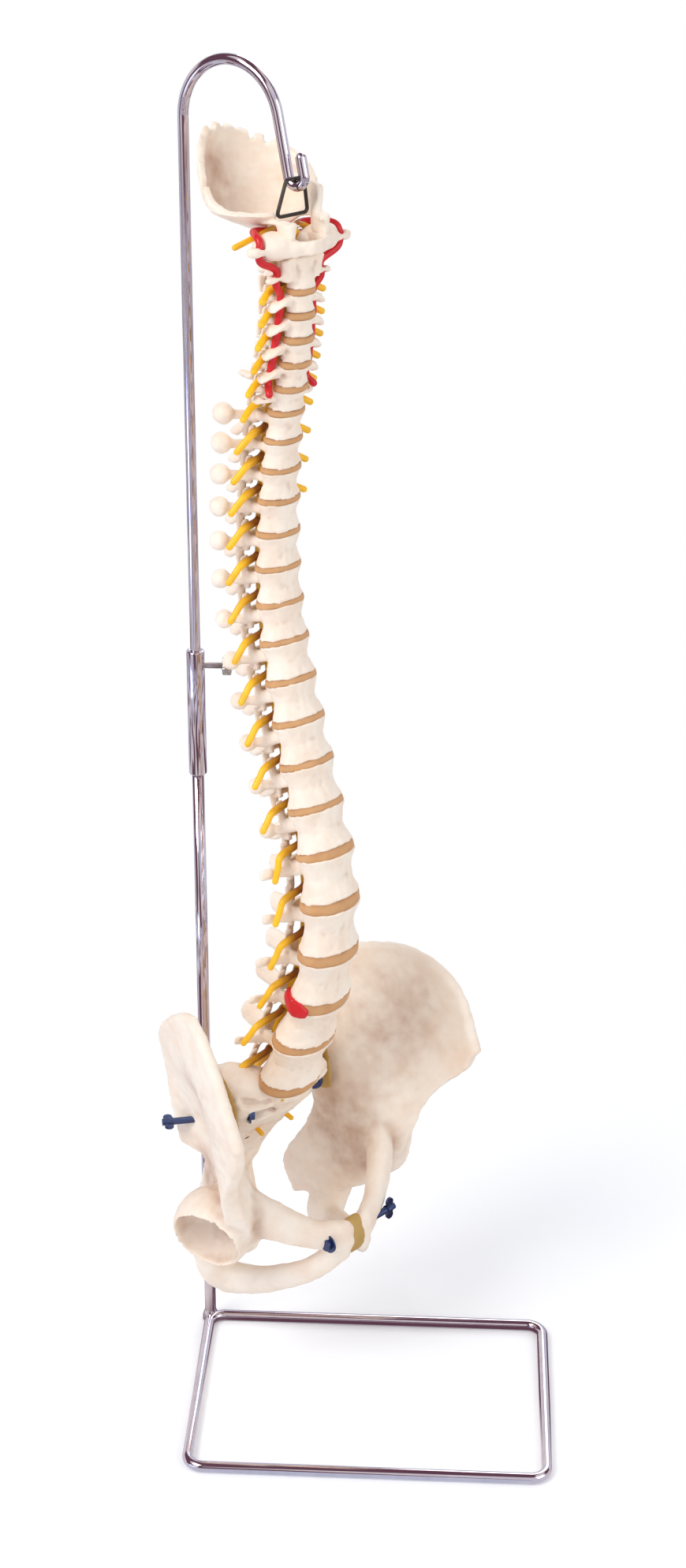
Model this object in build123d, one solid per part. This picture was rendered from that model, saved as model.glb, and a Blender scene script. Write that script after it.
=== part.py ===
from build123d import *
import math
import os

# Flexible teaching spine with pelvis, hung by a wire loop from the hook of a two-part rod stand.
# Millimetres. +X is right and +Y is away from someone who faces the stand, +Z is up.
# The origin is on the table at the centre of the base.

# Stand
base_width = 257.0
base_depth = 177.0
base_bend_radius = 12.0
base_rod = 8.0
lower_rod = 8.5
lower_rod_top = 505.0
sleeve_bottom = 466.0
sleeve_top = 558.0
sleeve_diameter = 12.5
sliding_clearance = 0.06
upper_rod = 7.0
arch_radius = 38.0
arch_centre_height = 915.0
arch_direction = -33.7
leg_length = 37.0
leg_slope = 12.5
hook_radius = 6.0
hook_tip_rise = 10.0

# Thumbscrew that clamps the upper rod
screw_height = 547.0
screw_diameter = 4.0
screw_clearance = 0.1
screw_stem = 12.0
screw_head_diameter = 13.0
screw_head_thickness = 6.5
screw_knurls = 12

# The spine's place: the patient's front is turned this far to the right of straight ahead
spine_turn = 41.7
promontory_forward = -12.0
promontory_height = 246.0
sacral_tilt = 27.0

# Sizes by region as (first level, last level), running from head to pelvis
cervical = {"names": ["c3", "c4", "c5", "c6", "c7"], "pitch": (15.0, 17.0), "disc": (4.5, 4.8),
            "width": (19.0, 25.0), "depth": (15.0, 16.5), "canal": (10.5, 7.5), "lap": 1.0, "slack": 1.2}
thoracic = {"names": ["t%d" % n for n in range(1, 13)], "pitch": (19.0, 32.0), "disc": (4.2, 6.0),
            "width": (26.5, 40.0), "depth": (17.0, 30.0), "canal": (8.5, 7.5), "lap": 2.2, "slack": 1.8}
lumbar = {"names": ["l1", "l2", "l3", "l4", "l5"], "pitch": (37.5, 42.5), "disc": (8.5, 10.0),
          "width": (42.0, 49.0), "depth": (31.0, 34.0), "canal": (11.0, 8.0), "lap": 4.0, "slack": 4.2}
regions = [cervical, thoracic, lumbar]

# Forward lean of the column in degrees, at the levels where the curve of the back is set
lean_knots = {"c3": 3.0, "c6": 14.0, "c7": 14.0, "t1": 9.0, "t5": 1.0, "t8": -13.0, "t12": -17.0,
              "l2": 2.0, "l4": 22.0, "l5": 20.0}

# Details shared by the vertebrae
body_sides = 16
body_waist = 0.87
disc_bulge = 1.05
arch_wall = 4.0
facet_width = 8.0
facet_thickness = 3.2
facet_gap = 1.0
spinous_root = 6.0
cord_diameter = 7.0
nerve_diameter = 4.2
nerve_setback = 4.5
nerve_out = 10.0
nerve_drop = 14.0
artery_diameter = 4.2
artery_room = 2.2
artery_wall = 1.6

# Torn disc that bulges toward the nerve on the patient's right
prolapse_disc = "l3"
prolapse_turn = -115.0
prolapse_width = 16.0
prolapse_height = 7.2
prolapse_proud = 3.0

# First two neck bones and the plate of the skull
axis_height = 19.0
dens_diameter = 8.5
dens_height = 15.0
atlas_rise = 12.5
atlas_ring = (23.0, 18.0)
atlas_wall = 4.5
atlas_front = 16.0
atlas_bar = 6.5
skull_radius = 40.0
skull_thickness = 4.5
rim_height = 30.0
skull_setback = 30.0
rim_slope = 0.55
rim_teeth = 9
knuckle_low = -2.9
foramen_magnum = (15.0, 17.0)
shoulder_top = 10.5
artery_y = 19.5
atlas_artery_y = 27.0
foramen_x = -2.0

# Wire loop
wire_diameter = 2.4
loop_top_half = 7.5
loop_foot_half = 12.6
loop_height = 17.0
loop_corner = 2.5
seat_gap = 0.25

# Pelvis, in places forward of the hook's line, to the side and above the table
sacral_sections = [(-18.0, 239.0, 27.0, 92.0, 30.0), (-28.0, 226.0, 33.0, 92.0, 34.0),
                   (-42.0, 206.0, 32.0, 78.0, 27.0), (-54.0, 184.0, 22.0, 62.0, 20.0),
                   (-62.0, 164.0, 5.0, 46.0, 14.0), (-63.0, 150.0, -10.0, 26.0, 10.0)]
sacral_holes = [(-33.0, 17.0, 222.0, 7.0), (-46.0, 15.5, 201.0, 6.5), (-56.0, 14.0, 182.0, 6.0),
                (-62.0, 12.0, 166.0, 5.0)]
blade_levels = [(192.0, (32.0, 84.0), (0.0, 80.0), (-40.0, 60.0), 15.0),
                (216.0, (40.0, 97.0), (-4.0, 88.0), (-60.0, 53.0), 8.0),
                (243.0, (51.0, 121.0), (2.0, 108.0), (-67.0, 53.0), 6.0),
                (272.0, (38.0, 128.0), (-8.0, 120.0), (-62.0, 66.0), 6.0),
                (292.0, (16.0, 127.0), (-18.0, 119.0), (-52.0, 84.0), 8.0),
                (304.0, (-4.0, 121.0), (-22.0, 116.0), (-38.0, 101.0), 8.0)]
socket_centre = (16.0, 108.0, 160.0)
pubic_gap = 6.0
socket_radius = 26.0
bolt_diameter = 5.0
bolt_clearance = 0.25
bolt_head = 9.0
bolt_head_height = 3.0
nut_hub = 9.0
nut_height = 6.0
nut_ear = 9.0
nut_ear_thickness = 2.6
nut_setback = 9.0
pubic_bolt = ((54.0, -26.0, 147.0), (54.0, 42.0, 147.0))
side_bolt = ((-19.0, 32.0, 226.0), (-55.0, 84.0, 226.0))
washer_diameter = 14.0
washer_thickness = 1.2

# Places worked out from the sizes
upright_x = -base_width / 2
upright_y = base_depth / 2
arch_angle = math.radians(arch_direction)
slope = math.radians(leg_slope)
leg_top = (arch_radius * (1 + math.cos(slope)), arch_centre_height + arch_radius * math.sin(slope))
leg_foot = (leg_top[0] + leg_length * math.sin(slope), leg_top[1] - leg_length * math.cos(slope))
hook_reach = leg_foot[0] + hook_radius * math.cos(slope)
hook_height = leg_foot[1] + hook_radius * math.sin(slope)
hook_x = upright_x + hook_reach * math.cos(arch_angle)
hook_y = upright_y + hook_reach * math.sin(arch_angle)
spine_place = Location((hook_x, hook_y, 0), (0, 0, -spine_turn))

shapes = {}


def oval(width, height, sides):
    """Oval face with flats, as a limb is cut in section."""
    turns = [math.pi * (2 * k + 1) / sides for k in range(sides)]
    return Polygon(*[(width / 2 * math.cos(t), height / 2 * math.sin(t)) for t in turns], align=None)


def branch(points, sizes, flat=(0, 0, 1), sides=8):
    """Tapering limb of oval section through the points. Each size is (across, along flat)."""
    points = [Vector(*point) for point in points]
    sections = []
    for i, size in enumerate(sizes):
        heading = (points[min(i + 1, len(points) - 1)] - points[max(i - 1, 0)]).normalized()
        plane = Plane(origin=points[i], x_dir=Vector(*flat).cross(heading), z_dir=heading)
        sections.append(plane * oval(size[0], size[1], sides))
    return loft(sections, ruled=True)


def both_sides(shape):
    """The shape on the patient's left and its mirror image on the right."""
    return [shape, mirror(shape, about=Plane.XZ)]


def blend(pair, share):
    return pair[0] + (pair[1] - pair[0]) * share


def frame_at(s, z, lean):
    """Frame in the spine's plane, leaning forward by so many degrees."""
    return Location((s, 0, z), (0, lean, 0))


# Levels of the column, from the head down
levels = []
for region in regions:
    count = len(region["names"])
    for i, name in enumerate(region["names"]):
        share = i / (count - 1)
        level = {key: blend(region[key], share) for key in ("pitch", "disc", "width", "depth")}
        level["name"] = name
        level["region"] = region
        level["height"] = level["pitch"] - level["disc"]
        level["canal"] = region["canal"]
        level["lap"] = region["lap"]
        level["slack"] = region["slack"]
        levels.append(level)
for level, following in zip(levels, levels[1:] + levels[-1:]):
    level["lap_below"] = following["lap"]
names = [level["name"] for level in levels]
knots = [(names.index(name), lean) for name, lean in lean_knots.items()]
for i, level in enumerate(levels):
    for (low, low_lean), (high, high_lean) in zip(knots, knots[1:]):
        if low <= i <= high:
            level["lean"] = low_lean + (high_lean - low_lean) * (i - low) / (high - low)

# Places of the bodies and discs, worked up from the sacrum
s = promontory_forward
z = promontory_height
lean_below = sacral_tilt
for level in reversed(levels):
    half_disc = level["disc"] / 2
    s += half_disc * math.sin(math.radians(lean_below))
    z += half_disc * math.cos(math.radians(lean_below))
    level["disc_frame"] = frame_at(s, z, (lean_below + level["lean"]) / 2)
    level["lower_face"] = frame_at(s, z, level["lean"]) * Location((0, 0, half_disc))
    level["face_below"] = frame_at(s, z, lean_below) * Location((0, 0, -half_disc))
    rise = half_disc + level["height"] / 2
    level["frame"] = frame_at(s, z, level["lean"]) * Location((0, 0, rise))
    rise = half_disc + level["height"]
    s += rise * math.sin(math.radians(level["lean"]))
    z += rise * math.cos(math.radians(level["lean"]))
    lean_below = level["lean"]

# The disc between the second and third neck bones, and the frame of the second
top = levels[0]
neck_disc = top["disc"]
s += neck_disc / 2 * math.sin(math.radians(top["lean"]))
z += neck_disc / 2 * math.cos(math.radians(top["lean"]))
neck_disc_frame = frame_at(s, z, top["lean"] / 2)
neck_face_below = frame_at(s, z, top["lean"]) * Location((0, 0, -neck_disc / 2))
axis_frame = frame_at(s, z, 0) * Location((0, 0, neck_disc / 2 + axis_height / 2))
axis_s = axis_frame.position.X
axis_z = axis_frame.position.Z
atlas_z = axis_z + axis_height / 2 + atlas_rise - 6.0
atlas_frame = frame_at(axis_s, atlas_z, 0)
skull_z = atlas_z + atlas_bar / 2 + 5.0
loop_z = hook_height - hook_radius + upper_rod / 2 + wire_diameter / 2 + 0.05
cord_top = loop_z - loop_height - wire_diameter / 2 - seat_gap


def canal_x(depth, canal):
    """Centre of the canal, behind the middle of the body."""
    return -(depth / 2 + canal[1] - 1.5)


def body_solid(width, depth, height):
    """Waisted body with flat faces above and below."""
    sections = []
    for share, scale in ((-0.5, 1.0), (-0.36, 0.96), (0.0, body_waist), (0.36, 0.96), (0.5, 1.0)):
        plane = Plane(origin=(0, 0, share * height))
        sections.append(plane * oval(depth * scale, width * scale, body_sides))
    return loft(sections, ruled=True)


def facets(disc_frame, depth, canal, disc, lap, lumbar_kind):
    """Joint processes behind a disc: the lower bone's pair in front, the upper bone's behind."""
    middle = canal_x(depth, canal)
    reach = disc / 2 + lap
    seat = reach + 5.0
    front_x = middle - 2.0
    back_x = front_x - facet_thickness - facet_gap
    front_y = canal[0] + 3.5
    back_y = front_y
    if lumbar_kind:
        front_y = canal[0] + 4.5
        back_y = canal[0] - 1.5
    size = (facet_width, facet_thickness)
    small = (facet_width * 0.7, facet_thickness * 0.8)
    lower = branch([(front_x, front_y, -seat), (front_x, front_y, reach - 1.5),
                    (front_x, front_y, reach)], [size, size, small], flat=(1, 0, 0), sides=6)
    upper = branch([(back_x, back_y, seat), (back_x, back_y, 1.5 - reach),
                    (back_x, back_y, -reach)], [size, size, small], flat=(1, 0, 0), sides=6)
    lower = [disc_frame * side for side in both_sides(lower)]
    upper = [disc_frame * side for side in both_sides(upper)]
    return lower, upper


def arch_solids(depth, canal, height, lap, lap_below, slack):
    """Pedicles and laminae that close the canal behind the body."""
    middle = canal_x(depth, canal)
    low = -height / 2 + lap_below + slack
    high = height / 2 - lap - slack
    outer = oval(2 * (canal[1] + arch_wall), 2 * (canal[0] + arch_wall), 12)
    inner = oval(2 * canal[1], 2 * canal[0], 12)
    ring = extrude(outer - inner, high - low)
    rear = Box(2 * canal[1], 4 * canal[0], 2 * height, align=(Align.MAX, Align.CENTER, Align.CENTER))
    laminae = Location((middle, 0, low)) * (ring & rear)
    root = (-depth * 0.3, canal[0] - 0.5, height * 0.18)
    pillar = (middle - 2.0, canal[0] + 2.8, height * 0.12)
    size = (min(6.0, depth / 4), min(height * 0.45, 12.0))
    pedicle = branch([root, pillar], [size, size])
    return [laminae, *both_sides(pedicle)]


def spinous(level):
    """Spinous process: short and forked in the neck, long and sloping in the chest, a blade below."""
    back = canal_x(level["depth"], level["canal"]) - level["canal"][1] - 1.0
    height = level["height"]
    region = level["region"]
    if region is cervical:
        length = 10.0 if level["name"] != "c7" else 20.0
        return branch([(back, 0, 0), (back - length, 0, -3.0), (back - length - 3.0, 0, -4.0)],
                      [(spinous_root, 5.0), (6.0, 5.0), (4.0, 3.0)])
    if region is thoracic:
        share = thoracic["names"].index(level["name"]) / (len(thoracic["names"]) - 1)
        drop = 22.0 - 16.0 * share
        length = 20.0 + 4.0 * share
        tall = 8.0 + 6.0 * share
        return branch([(back, 0, -1.0), (back - length, 0, -drop), (back - length - 4, 0, -drop - 1)],
                      [(5.0, tall), (5.0, tall * 0.9), (3.5, tall * 0.5)])
    tall = height * 0.62
    return branch([(back, 0, -2.0), (back - 14, 0, -4.0), (back - 23, 0, -5.0), (back - 25, 0, -5.0)],
                  [(5.5, tall * 0.8), (5.5, tall), (7.5, tall * 0.9), (5.0, tall * 0.6)])


def transverse(level):
    """Transverse processes of one level."""
    side = level["canal"][0] + 3.0
    middle = canal_x(level["depth"], level["canal"])
    height = level["height"]
    region = level["region"]
    if region is cervical:
        edge = level["width"] / 2
        x = -level["depth"] / 2 + 4.0
        artery_hole = artery_diameter + artery_room
        hole = edge + artery_hole / 2 + artery_wall
        tip = hole + artery_hole / 2 + 2.5
        plate = branch([(x, edge - 4.0, 0.5), (x, hole, 0), (x - 1, tip, -1.0), (x - 1, tip + 2, -1.4)],
                       [(10.0, 5.0), (11.0, 5.5), (8.0, 5.0), (5.0, 3.5)])
        bore = Location((x, hole, -height)) * extrude(oval(artery_hole, artery_hole, 8), 2 * height)
        return both_sides(plate - bore)
    if region is thoracic:
        share = thoracic["names"].index(level["name"]) / (len(thoracic["names"]) - 1)
        length = 17.0 - 9.0 * share
        back = 9.0 - 2.0 * share
        knob = branch([(middle - 3, side, 0.5), (middle - 3 - back * 0.7, side + length * 0.7, 2.0),
                       (middle - 3 - back, side + length, 2.5), (middle - 4 - back, side + length + 3, 2.6)],
                      [(8.0, 7.0), (6.5, 6.4), (9.0, 8.4), (6.0, 5.5)])
        return both_sides(knob)
    length = 21.0 + (3.0 if level["name"] == "l3" else 0.0)
    wing = branch([(middle + 1, side, 2.0), (middle - 2, side + length * 0.5, 3.0),
                   (middle - 5, side + length, 4.0), (middle - 6, side + length + 2, 4.0)],
                  [(6.5, 9.0), (4.0, 8.0), (3.6, 9.0), (2.4, 6.0)])
    return both_sides(wing)


def vertebra(level, upper_facets, lower_facets):
    """One bone from the third neck bone down."""
    body = body_solid(level["width"], level["depth"], level["height"])
    canal = Ellipse(level["canal"][1], level["canal"][0])
    middle = canal_x(level["depth"], level["canal"])
    bore = Location((middle, 0, -level["height"])) * extrude(canal, 2 * level["height"])
    pieces = arch_solids(level["depth"], level["canal"], level["height"], level["lap"], level["lap_below"],
                         level["slack"])
    pieces += [spinous(level), *transverse(level)]
    bone = (body - bore).fuse(*pieces)
    return (level["frame"] * bone).fuse(*lower_facets, *upper_facets)


def disc_solid(frame, below, above, lower, upper):
    """Disc between two flat faces, a little proud at its middle. Sizes are (width, depth)."""
    middle = ((lower[0] + upper[0]) / 2 * disc_bulge, (lower[1] + upper[1]) / 2 * disc_bulge)
    sections = [below * oval(lower[1], lower[0], body_sides),
                frame * oval(middle[1], middle[0], body_sides),
                above * oval(upper[1], upper[0], body_sides)]
    return loft(sections, ruled=True)


def prolapse_solid(level):
    """Lump that stands proud of the torn disc, inside the disc's own height."""
    turn = math.radians(prolapse_turn)
    rim = Vector(level["depth"] / 2 * math.cos(turn), level["width"] / 2 * math.sin(turn), 0)
    out = rim.normalized()
    size = (prolapse_width, prolapse_height)
    lump = branch([rim - out * 8, rim + out * prolapse_proud * 0.6, rim + out * prolapse_proud],
                  [size, size, (prolapse_width * 0.6, prolapse_height * 0.6)])
    return level["disc_frame"] * lump


def axis_bone():
    """Second neck bone, with the peg that the ring above turns on."""
    width, depth, canal = top["width"], top["depth"], top["canal"]
    half = axis_height / 2
    middle = canal_x(depth, canal)
    body = body_solid(width, depth, axis_height)
    bore = Location((middle, 0, -axis_height)) * extrude(oval(2 * canal[1], 2 * canal[0], 12), 2 * axis_height)
    peg_x = depth / 2 - dens_diameter / 2 - 1.0
    peg_top = half + dens_height
    peg = branch([(peg_x, 0, half - 3), (peg_x, 0, half + dens_height * 0.3), (peg_x, 0, peg_top - 3),
                  (peg_x, 0, peg_top)],
                 [(dens_diameter, dens_diameter), (dens_diameter * 0.86, dens_diameter * 0.86),
                  (dens_diameter, dens_diameter), (dens_diameter * 0.5, dens_diameter * 0.5)], flat=(1, 0, 0))
    shoulder = branch([(0, canal[0] - 1, -half + 5), (0, canal[0] + 1.5, half), (0, canal[0] + 2, shoulder_top)],
                      [(11.0, 10.0), (13.0, 13.0), (12.5, 12.5)], flat=(1, 0, 0))
    ring = extrude(oval(2 * (canal[1] + arch_wall), 2 * (canal[0] + arch_wall), 12)
                   - oval(2 * canal[1], 2 * canal[0], 12), 9.0)
    rear = Box(2 * canal[1], 4 * canal[0], 40, align=(Align.MAX, Align.CENTER, Align.CENTER))
    laminae = Location((middle, 0, -4.0)) * (ring & rear)
    pillar = branch([(-3, canal[0] + 2, 0), (middle - 2, canal[0] + 3, 0)], [(7.0, 8.0), (7.0, 8.0)])
    back = middle - canal[1] - 1.0
    spine = branch([(back, 0, 0), (back - 11, 0, -3), (back - 14, 0, -4)], [(8.0, 9.0), (11.0, 9.0), (9.0, 6.0)])
    hole = artery_y
    wing = branch([(-2, canal[0] - 2, -2), (-2, hole, -2), (-2, hole + 5, -3), (-2, hole + 7, -3.5)],
                  [(9.0, 6.0), (10.0, 6.0), (7.0, 5.0), (5.0, 3.5)])
    artery_hole = artery_diameter + artery_room
    hole_bore = Location((-2, hole, -20)) * extrude(oval(artery_hole, artery_hole, 8), 40)
    flank = [piece - mirrored_bore for piece, mirrored_bore in zip(both_sides(wing), both_sides(hole_bore))]
    shoulders = [piece - mirrored_bore for piece, mirrored_bore in zip(both_sides(shoulder), both_sides(hole_bore))]
    return (body - bore).fuse(peg, laminae, spine, *both_sides(pillar), *flank, *shoulders)


def atlas_bone():
    """Ring-shaped first neck bone: a ring, two thick sides and wide wings."""
    half_length, half_width = atlas_ring
    middle = atlas_front - half_length
    outer = oval(2 * half_length, 2 * half_width, 16)
    inner = oval(2 * (half_length - atlas_wall), 2 * (half_width - atlas_wall), 16)
    ring = Location((middle, 0, -atlas_bar / 2)) * extrude(outer - inner, atlas_bar)
    block = branch([(0, half_width - 1, -atlas_bar / 2 - 0.5), (0, half_width - 1, atlas_bar / 2 + 1.5)],
                   [(10.0, 15.0), (10.0, 15.0)], flat=(1, 0, 0))
    wing = branch([(-1, half_width, 0), (-1, atlas_artery_y, 0), (-1, atlas_artery_y + 6, 0),
                   (-1, atlas_artery_y + 8, 0)], [(9.0, 6.0), (11.0, 6.0), (8.0, 5.5), (5.0, 3.5)])
    artery_hole = artery_diameter + artery_room
    bore = Location((-1, atlas_artery_y, -20)) * extrude(oval(artery_hole, artery_hole, 8), 40)
    pieces = [piece - hole for piece, hole in zip(both_sides(wing), both_sides(bore))]
    pieces += [piece - hole for piece, hole in zip(both_sides(block), both_sides(bore))]
    return ring.fuse(*pieces)


def skull_plate():
    """Bowl-shaped piece of the skull's base with its round hole and the two knuckles beneath."""
    centre = (-skull_setback, 0, skull_z + skull_radius - 3.0)
    ball = Location(centre) * Sphere(skull_radius)
    hollow = Location(centre) * Sphere(skull_radius - skull_thickness)
    front = foramen_x + foramen_magnum[1]
    floor = branch([(front + 14, 0, skull_z + 15), (front, 0, skull_z + 9), (foramen_x - 8, 0, skull_z + 8)],
                   [(20.0, 7.0), (30.0, 8.0), (46.0, 8.0)])
    hole = Location((foramen_x, 0, skull_z)) * extrude(
        oval(2 * foramen_magnum[1], 2 * foramen_magnum[0], 16), skull_radius / 2, both=True)
    rim = Plane(origin=(-skull_setback, 0, skull_z + rim_height), z_dir=(rim_slope, 0, 1))
    above = rim * Box(4 * skull_radius, 4 * skull_radius, 4 * skull_radius,
                      align=(Align.CENTER, Align.CENTER, Align.MIN))
    plate = ball.fuse(floor) - hollow - above - hole
    step = 150.0 / rim_teeth
    for k in range(rim_teeth):
        turn = math.radians(105.0 + step * (k + 0.5))
        out = skull_radius * math.cos(turn)
        tooth = Location((-skull_setback + out, skull_radius * math.sin(turn),
                          skull_z + rim_height - rim_slope * out), (0, 0, math.degrees(turn)))
        plate = plate - tooth * Box(12.0, 4.0 + 2.0 * (k % 2), 6.0 + 3.0 * (k % 3))
    knuckle = branch([(foramen_x + 8, 14.5, skull_z + 9), (foramen_x + 8, 14.5, skull_z + knuckle_low)],
                     [(9.0, 16.0), (8.0, 14.0)], flat=(1, 0, 0))
    return plate.fuse(*both_sides(knuckle))


def sacrum_bone():
    """Curved wedge of fused bones with its wings, eight holes, ridge and the tail bones."""
    sections = []
    for s, z, lean, width, depth in sacral_sections:
        sections.append(frame_at(s, z, lean) * oval(depth, width, body_sides))
    bone = loft(sections, ruled=True)
    last = levels[-1]
    seat = last["face_below"] * Location((0, 0, -9.0))
    cap = seat * extrude(oval(last["depth"], last["width"], body_sides), 9.0)
    ridge = branch([(-52, 0, 232), (-66, 0, 212), (-72, 0, 190), (-68, 0, 168)],
                   [(6.0, 16.0), (6.0, 12.0), (6.0, 10.0), (5.0, 8.0)], flat=(1, 0, 0))
    tail = branch([(-63, 0, 152), (-60, 0, 142), (-52, 0, 132), (-45, 0, 127)],
                  [(22.0, 9.0), (16.0, 8.0), (9.0, 6.0), (5.0, 4.0)], flat=(1, 0, 0))
    bone = bone.fuse(cap, ridge, tail)
    canal = branch([(-44, 0, 262), (-52, 0, 222), (-63, 0, 190)], [(20.0, 12.0), (16.0, 9.0), (10.0, 6.0)],
                   flat=(1, 0, 0))
    bone = bone - canal
    for s, y, z, size in sacral_holes:
        hole = Location((s, y, z), (0, 60, 0)) * Cylinder(size / 2, 34.0)
        bone = bone - hole - mirror(hole, about=Plane.XZ)
    return bone.solids().sort_by(SortBy.VOLUME)[-1]


def strip(z, front, middle, rear, thickness):
    """Curved strip in plan, one level of the hip blade, through three points (forward, side)."""
    points = [Vector(*front, z), Vector(*middle, z), Vector(*rear, z)]
    along = [points[1] - points[0], points[2] - points[0], points[2] - points[1]]
    shifts = [Vector(0, 0, 1).cross(line).normalized() * (thickness / 2) for line in along]
    inner = [point + shift for point, shift in zip(points, shifts)]
    outer = [point - shift for point, shift in zip(points, shifts)]
    return make_face([ThreePointArc(*inner), Line(inner[2], outer[2]),
                      ThreePointArc(*reversed(outer)), Line(outer[0], inner[0])])


def hip_bone():
    """Left hip bone: flared blade, socket, seat bone and the two bars round the large opening."""
    blade = loft([strip(*level) for level in blade_levels])
    hub = branch([(4, 66, 186), (12, 84, 170), (14, 100, 163)], [(40.0, 44.0), (58.0, 60.0), (56.0, 58.0)],
                 sides=12)
    waist = branch([(4, 74, 215), (6, 78, 195), (8, 82, 176)], [(22.0, 58.0), (30.0, 54.0), (36.0, 56.0)],
                   flat=(1, 0, 0), sides=12)
    seat_bone = branch([(-6, 78, 150), (-22, 66, 122), (-28, 55, 98), (-26, 50, 84)],
                       [(26.0, 30.0), (22.0, 28.0), (28.0, 34.0), (20.0, 22.0)], flat=(1, 0, 0))
    point = branch([(0, 80, 172), (-24, 68, 158), (-42, 52, 150), (-51, 42, 146)],
                   [(30.0, 26.0), (26.0, 14.0), (16.0, 7.0), (6.0, 4.0)])
    upper_bar = branch([(16, 80, 172), (36, 50, 168), (50, 26, 160), (54, 14, 156)],
                       [(22.0, 22.0), (15.0, 15.0), (14.0, 17.0), (14.0, 18.0)])
    front_plate = branch([(55, pubic_gap / 2, 160), (55, 12, 151), (50, 22, 142)],
                         [(15.0, 34.0), (15.0, 34.0), (12.0, 24.0)])
    lower_bar = branch([(50, 16, 138), (34, 30, 118), (2, 44, 98), (-20, 52, 92)],
                       [(11.0, 18.0), (9.0, 15.0), (10.0, 17.0), (14.0, 20.0)])
    spine_front = branch([(30, 82, 196), (36, 88, 199), (38, 89, 199)], [(20.0, 22.0), (13.0, 16.0), (8.0, 9.0)])
    bone = blade.fuse(hub, waist, seat_bone, point, upper_bar, front_plate, lower_bar, spine_front)
    socket = Location(socket_centre) * Sphere(socket_radius)
    inner_face = Location((0, pubic_gap / 2, 0)) * Box(400, 400, 800, align=(Align.CENTER, Align.MAX, Align.CENTER))
    return (bone - socket - inner_face).solids().sort_by(SortBy.VOLUME)[-1]


def canal_point(level):
    """Centre of the canal at the middle of one bone."""
    place = level["frame"] * Location((canal_x(level["depth"], level["canal"]), 0, 0))
    return place.position


def cord_solid():
    """Soft cord in the canal with a pair of nerve roots at every disc, all in one piece."""
    start = Vector(foramen_x, 0, cord_top)
    neck = axis_frame * Location((canal_x(top["depth"], top["canal"]), 0, 0))
    points = [start, neck.position] + [canal_point(level) for level in levels]
    last = levels[-1]
    points.append((last["disc_frame"] * Location((canal_x(last["depth"], last["canal"]), 0, 0))).position)
    points += [Vector(-45, 0, 242), Vector(-53, 0, 224)]
    size = (cord_diameter, cord_diameter)
    cord = branch(points, [size] * (len(points) - 1) + [(4.0, 4.0)], flat=(1, 0, 0), sides=6)
    roots = []
    root = (nerve_diameter, nerve_diameter)
    frames = [(neck_disc_frame, top, neck_disc)]
    frames += [(level["disc_frame"], level, level["disc"]) for level in levels]
    for frame, level, disc in frames:
        x = -level["depth"] / 2 - nerve_setback
        out = level["width"] / 2
        rise = disc * 0.35
        inner_x = canal_x(level["depth"], level["canal"])
        bend = (x + 1, out + nerve_out * 0.5, rise - 1.5)
        tip = (x + 1, out + nerve_out, rise - nerve_drop)
        nerve = branch([(inner_x, 0, rise + 1.0), (x, level["canal"][0] * 0.8, rise + 0.5), bend, tip],
                       [root, root, root, (3.0, 3.0)], sides=6)
        roots += [frame * side for side in both_sides(nerve)]
    return cord.fuse(*roots)


def arteries_solid():
    """Pair of vessels up through the holes of the neck's wings, over the ring to the skull's hole."""
    size = (artery_diameter, artery_diameter)
    points = []
    for level in reversed(levels[:4]):
        hole = level["width"] / 2 + (artery_diameter + artery_room) / 2 + artery_wall
        x = -level["depth"] / 2 + 4.0
        for z in (-level["height"] / 2, level["height"] / 2):
            points.append((level["frame"] * Location((x, hole, z))).position)
    first = points[0]
    points = [Vector(first.X + 4, first.Y + 3, first.Z - 6)] + points
    points.append((axis_frame * Location((-2, artery_y, -6))).position)
    points.append((axis_frame * Location((-2, artery_y, 3))).position)
    points.append(Vector(axis_s - 1, atlas_artery_y, atlas_z - atlas_bar / 2 - 1))
    points.append(Vector(axis_s - 1, atlas_artery_y, atlas_z + atlas_bar / 2 + 1))
    points.append(Vector(axis_s - 7, atlas_artery_y - 1, atlas_z + atlas_bar / 2 + 5))
    points.append(Vector(axis_s - 19, atlas_artery_y - 8, atlas_z + atlas_bar / 2 + 4))
    points.append(Vector(foramen_x - 10, 7.5, skull_z - 1.5))
    vessel = branch(points, [size] * len(points), flat=(1, 0, 0), sides=8)
    return Compound(both_sides(vessel))


def pelvic_pads(sacrum, hip, holes):
    """Cartilage in front between the hip bones, and between each hip bone and the sacrum."""
    front = branch([(55, -pubic_gap / 2, 151), (55, pubic_gap / 2, 151)], [(17.0, 36.0), (17.0, 36.0)])
    side = branch([(-39, 40, 224), (-39, 58, 224)], [(30.0, 44.0), (30.0, 44.0)], sides=12)
    side = (side - sacrum - hip).solids().sort_by(SortBy.VOLUME)[-1]
    return Compound([pad.cut(*holes) for pad in (front, *both_sides(side))])


def screw_set(start, end):
    """Bolt with a round head at its start. The thread end stands out past the nut."""
    start, end = Vector(*start), Vector(*end)
    plane = Plane(origin=start, z_dir=end - start)
    shank = extrude(plane * Circle(bolt_diameter / 2), (end - start).length)
    head = extrude(plane * Circle(bolt_head / 2), -bolt_head_height)
    washer = extrude(plane * Circle(washer_diameter / 2), washer_thickness)
    return shank.fuse(head, washer)


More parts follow.
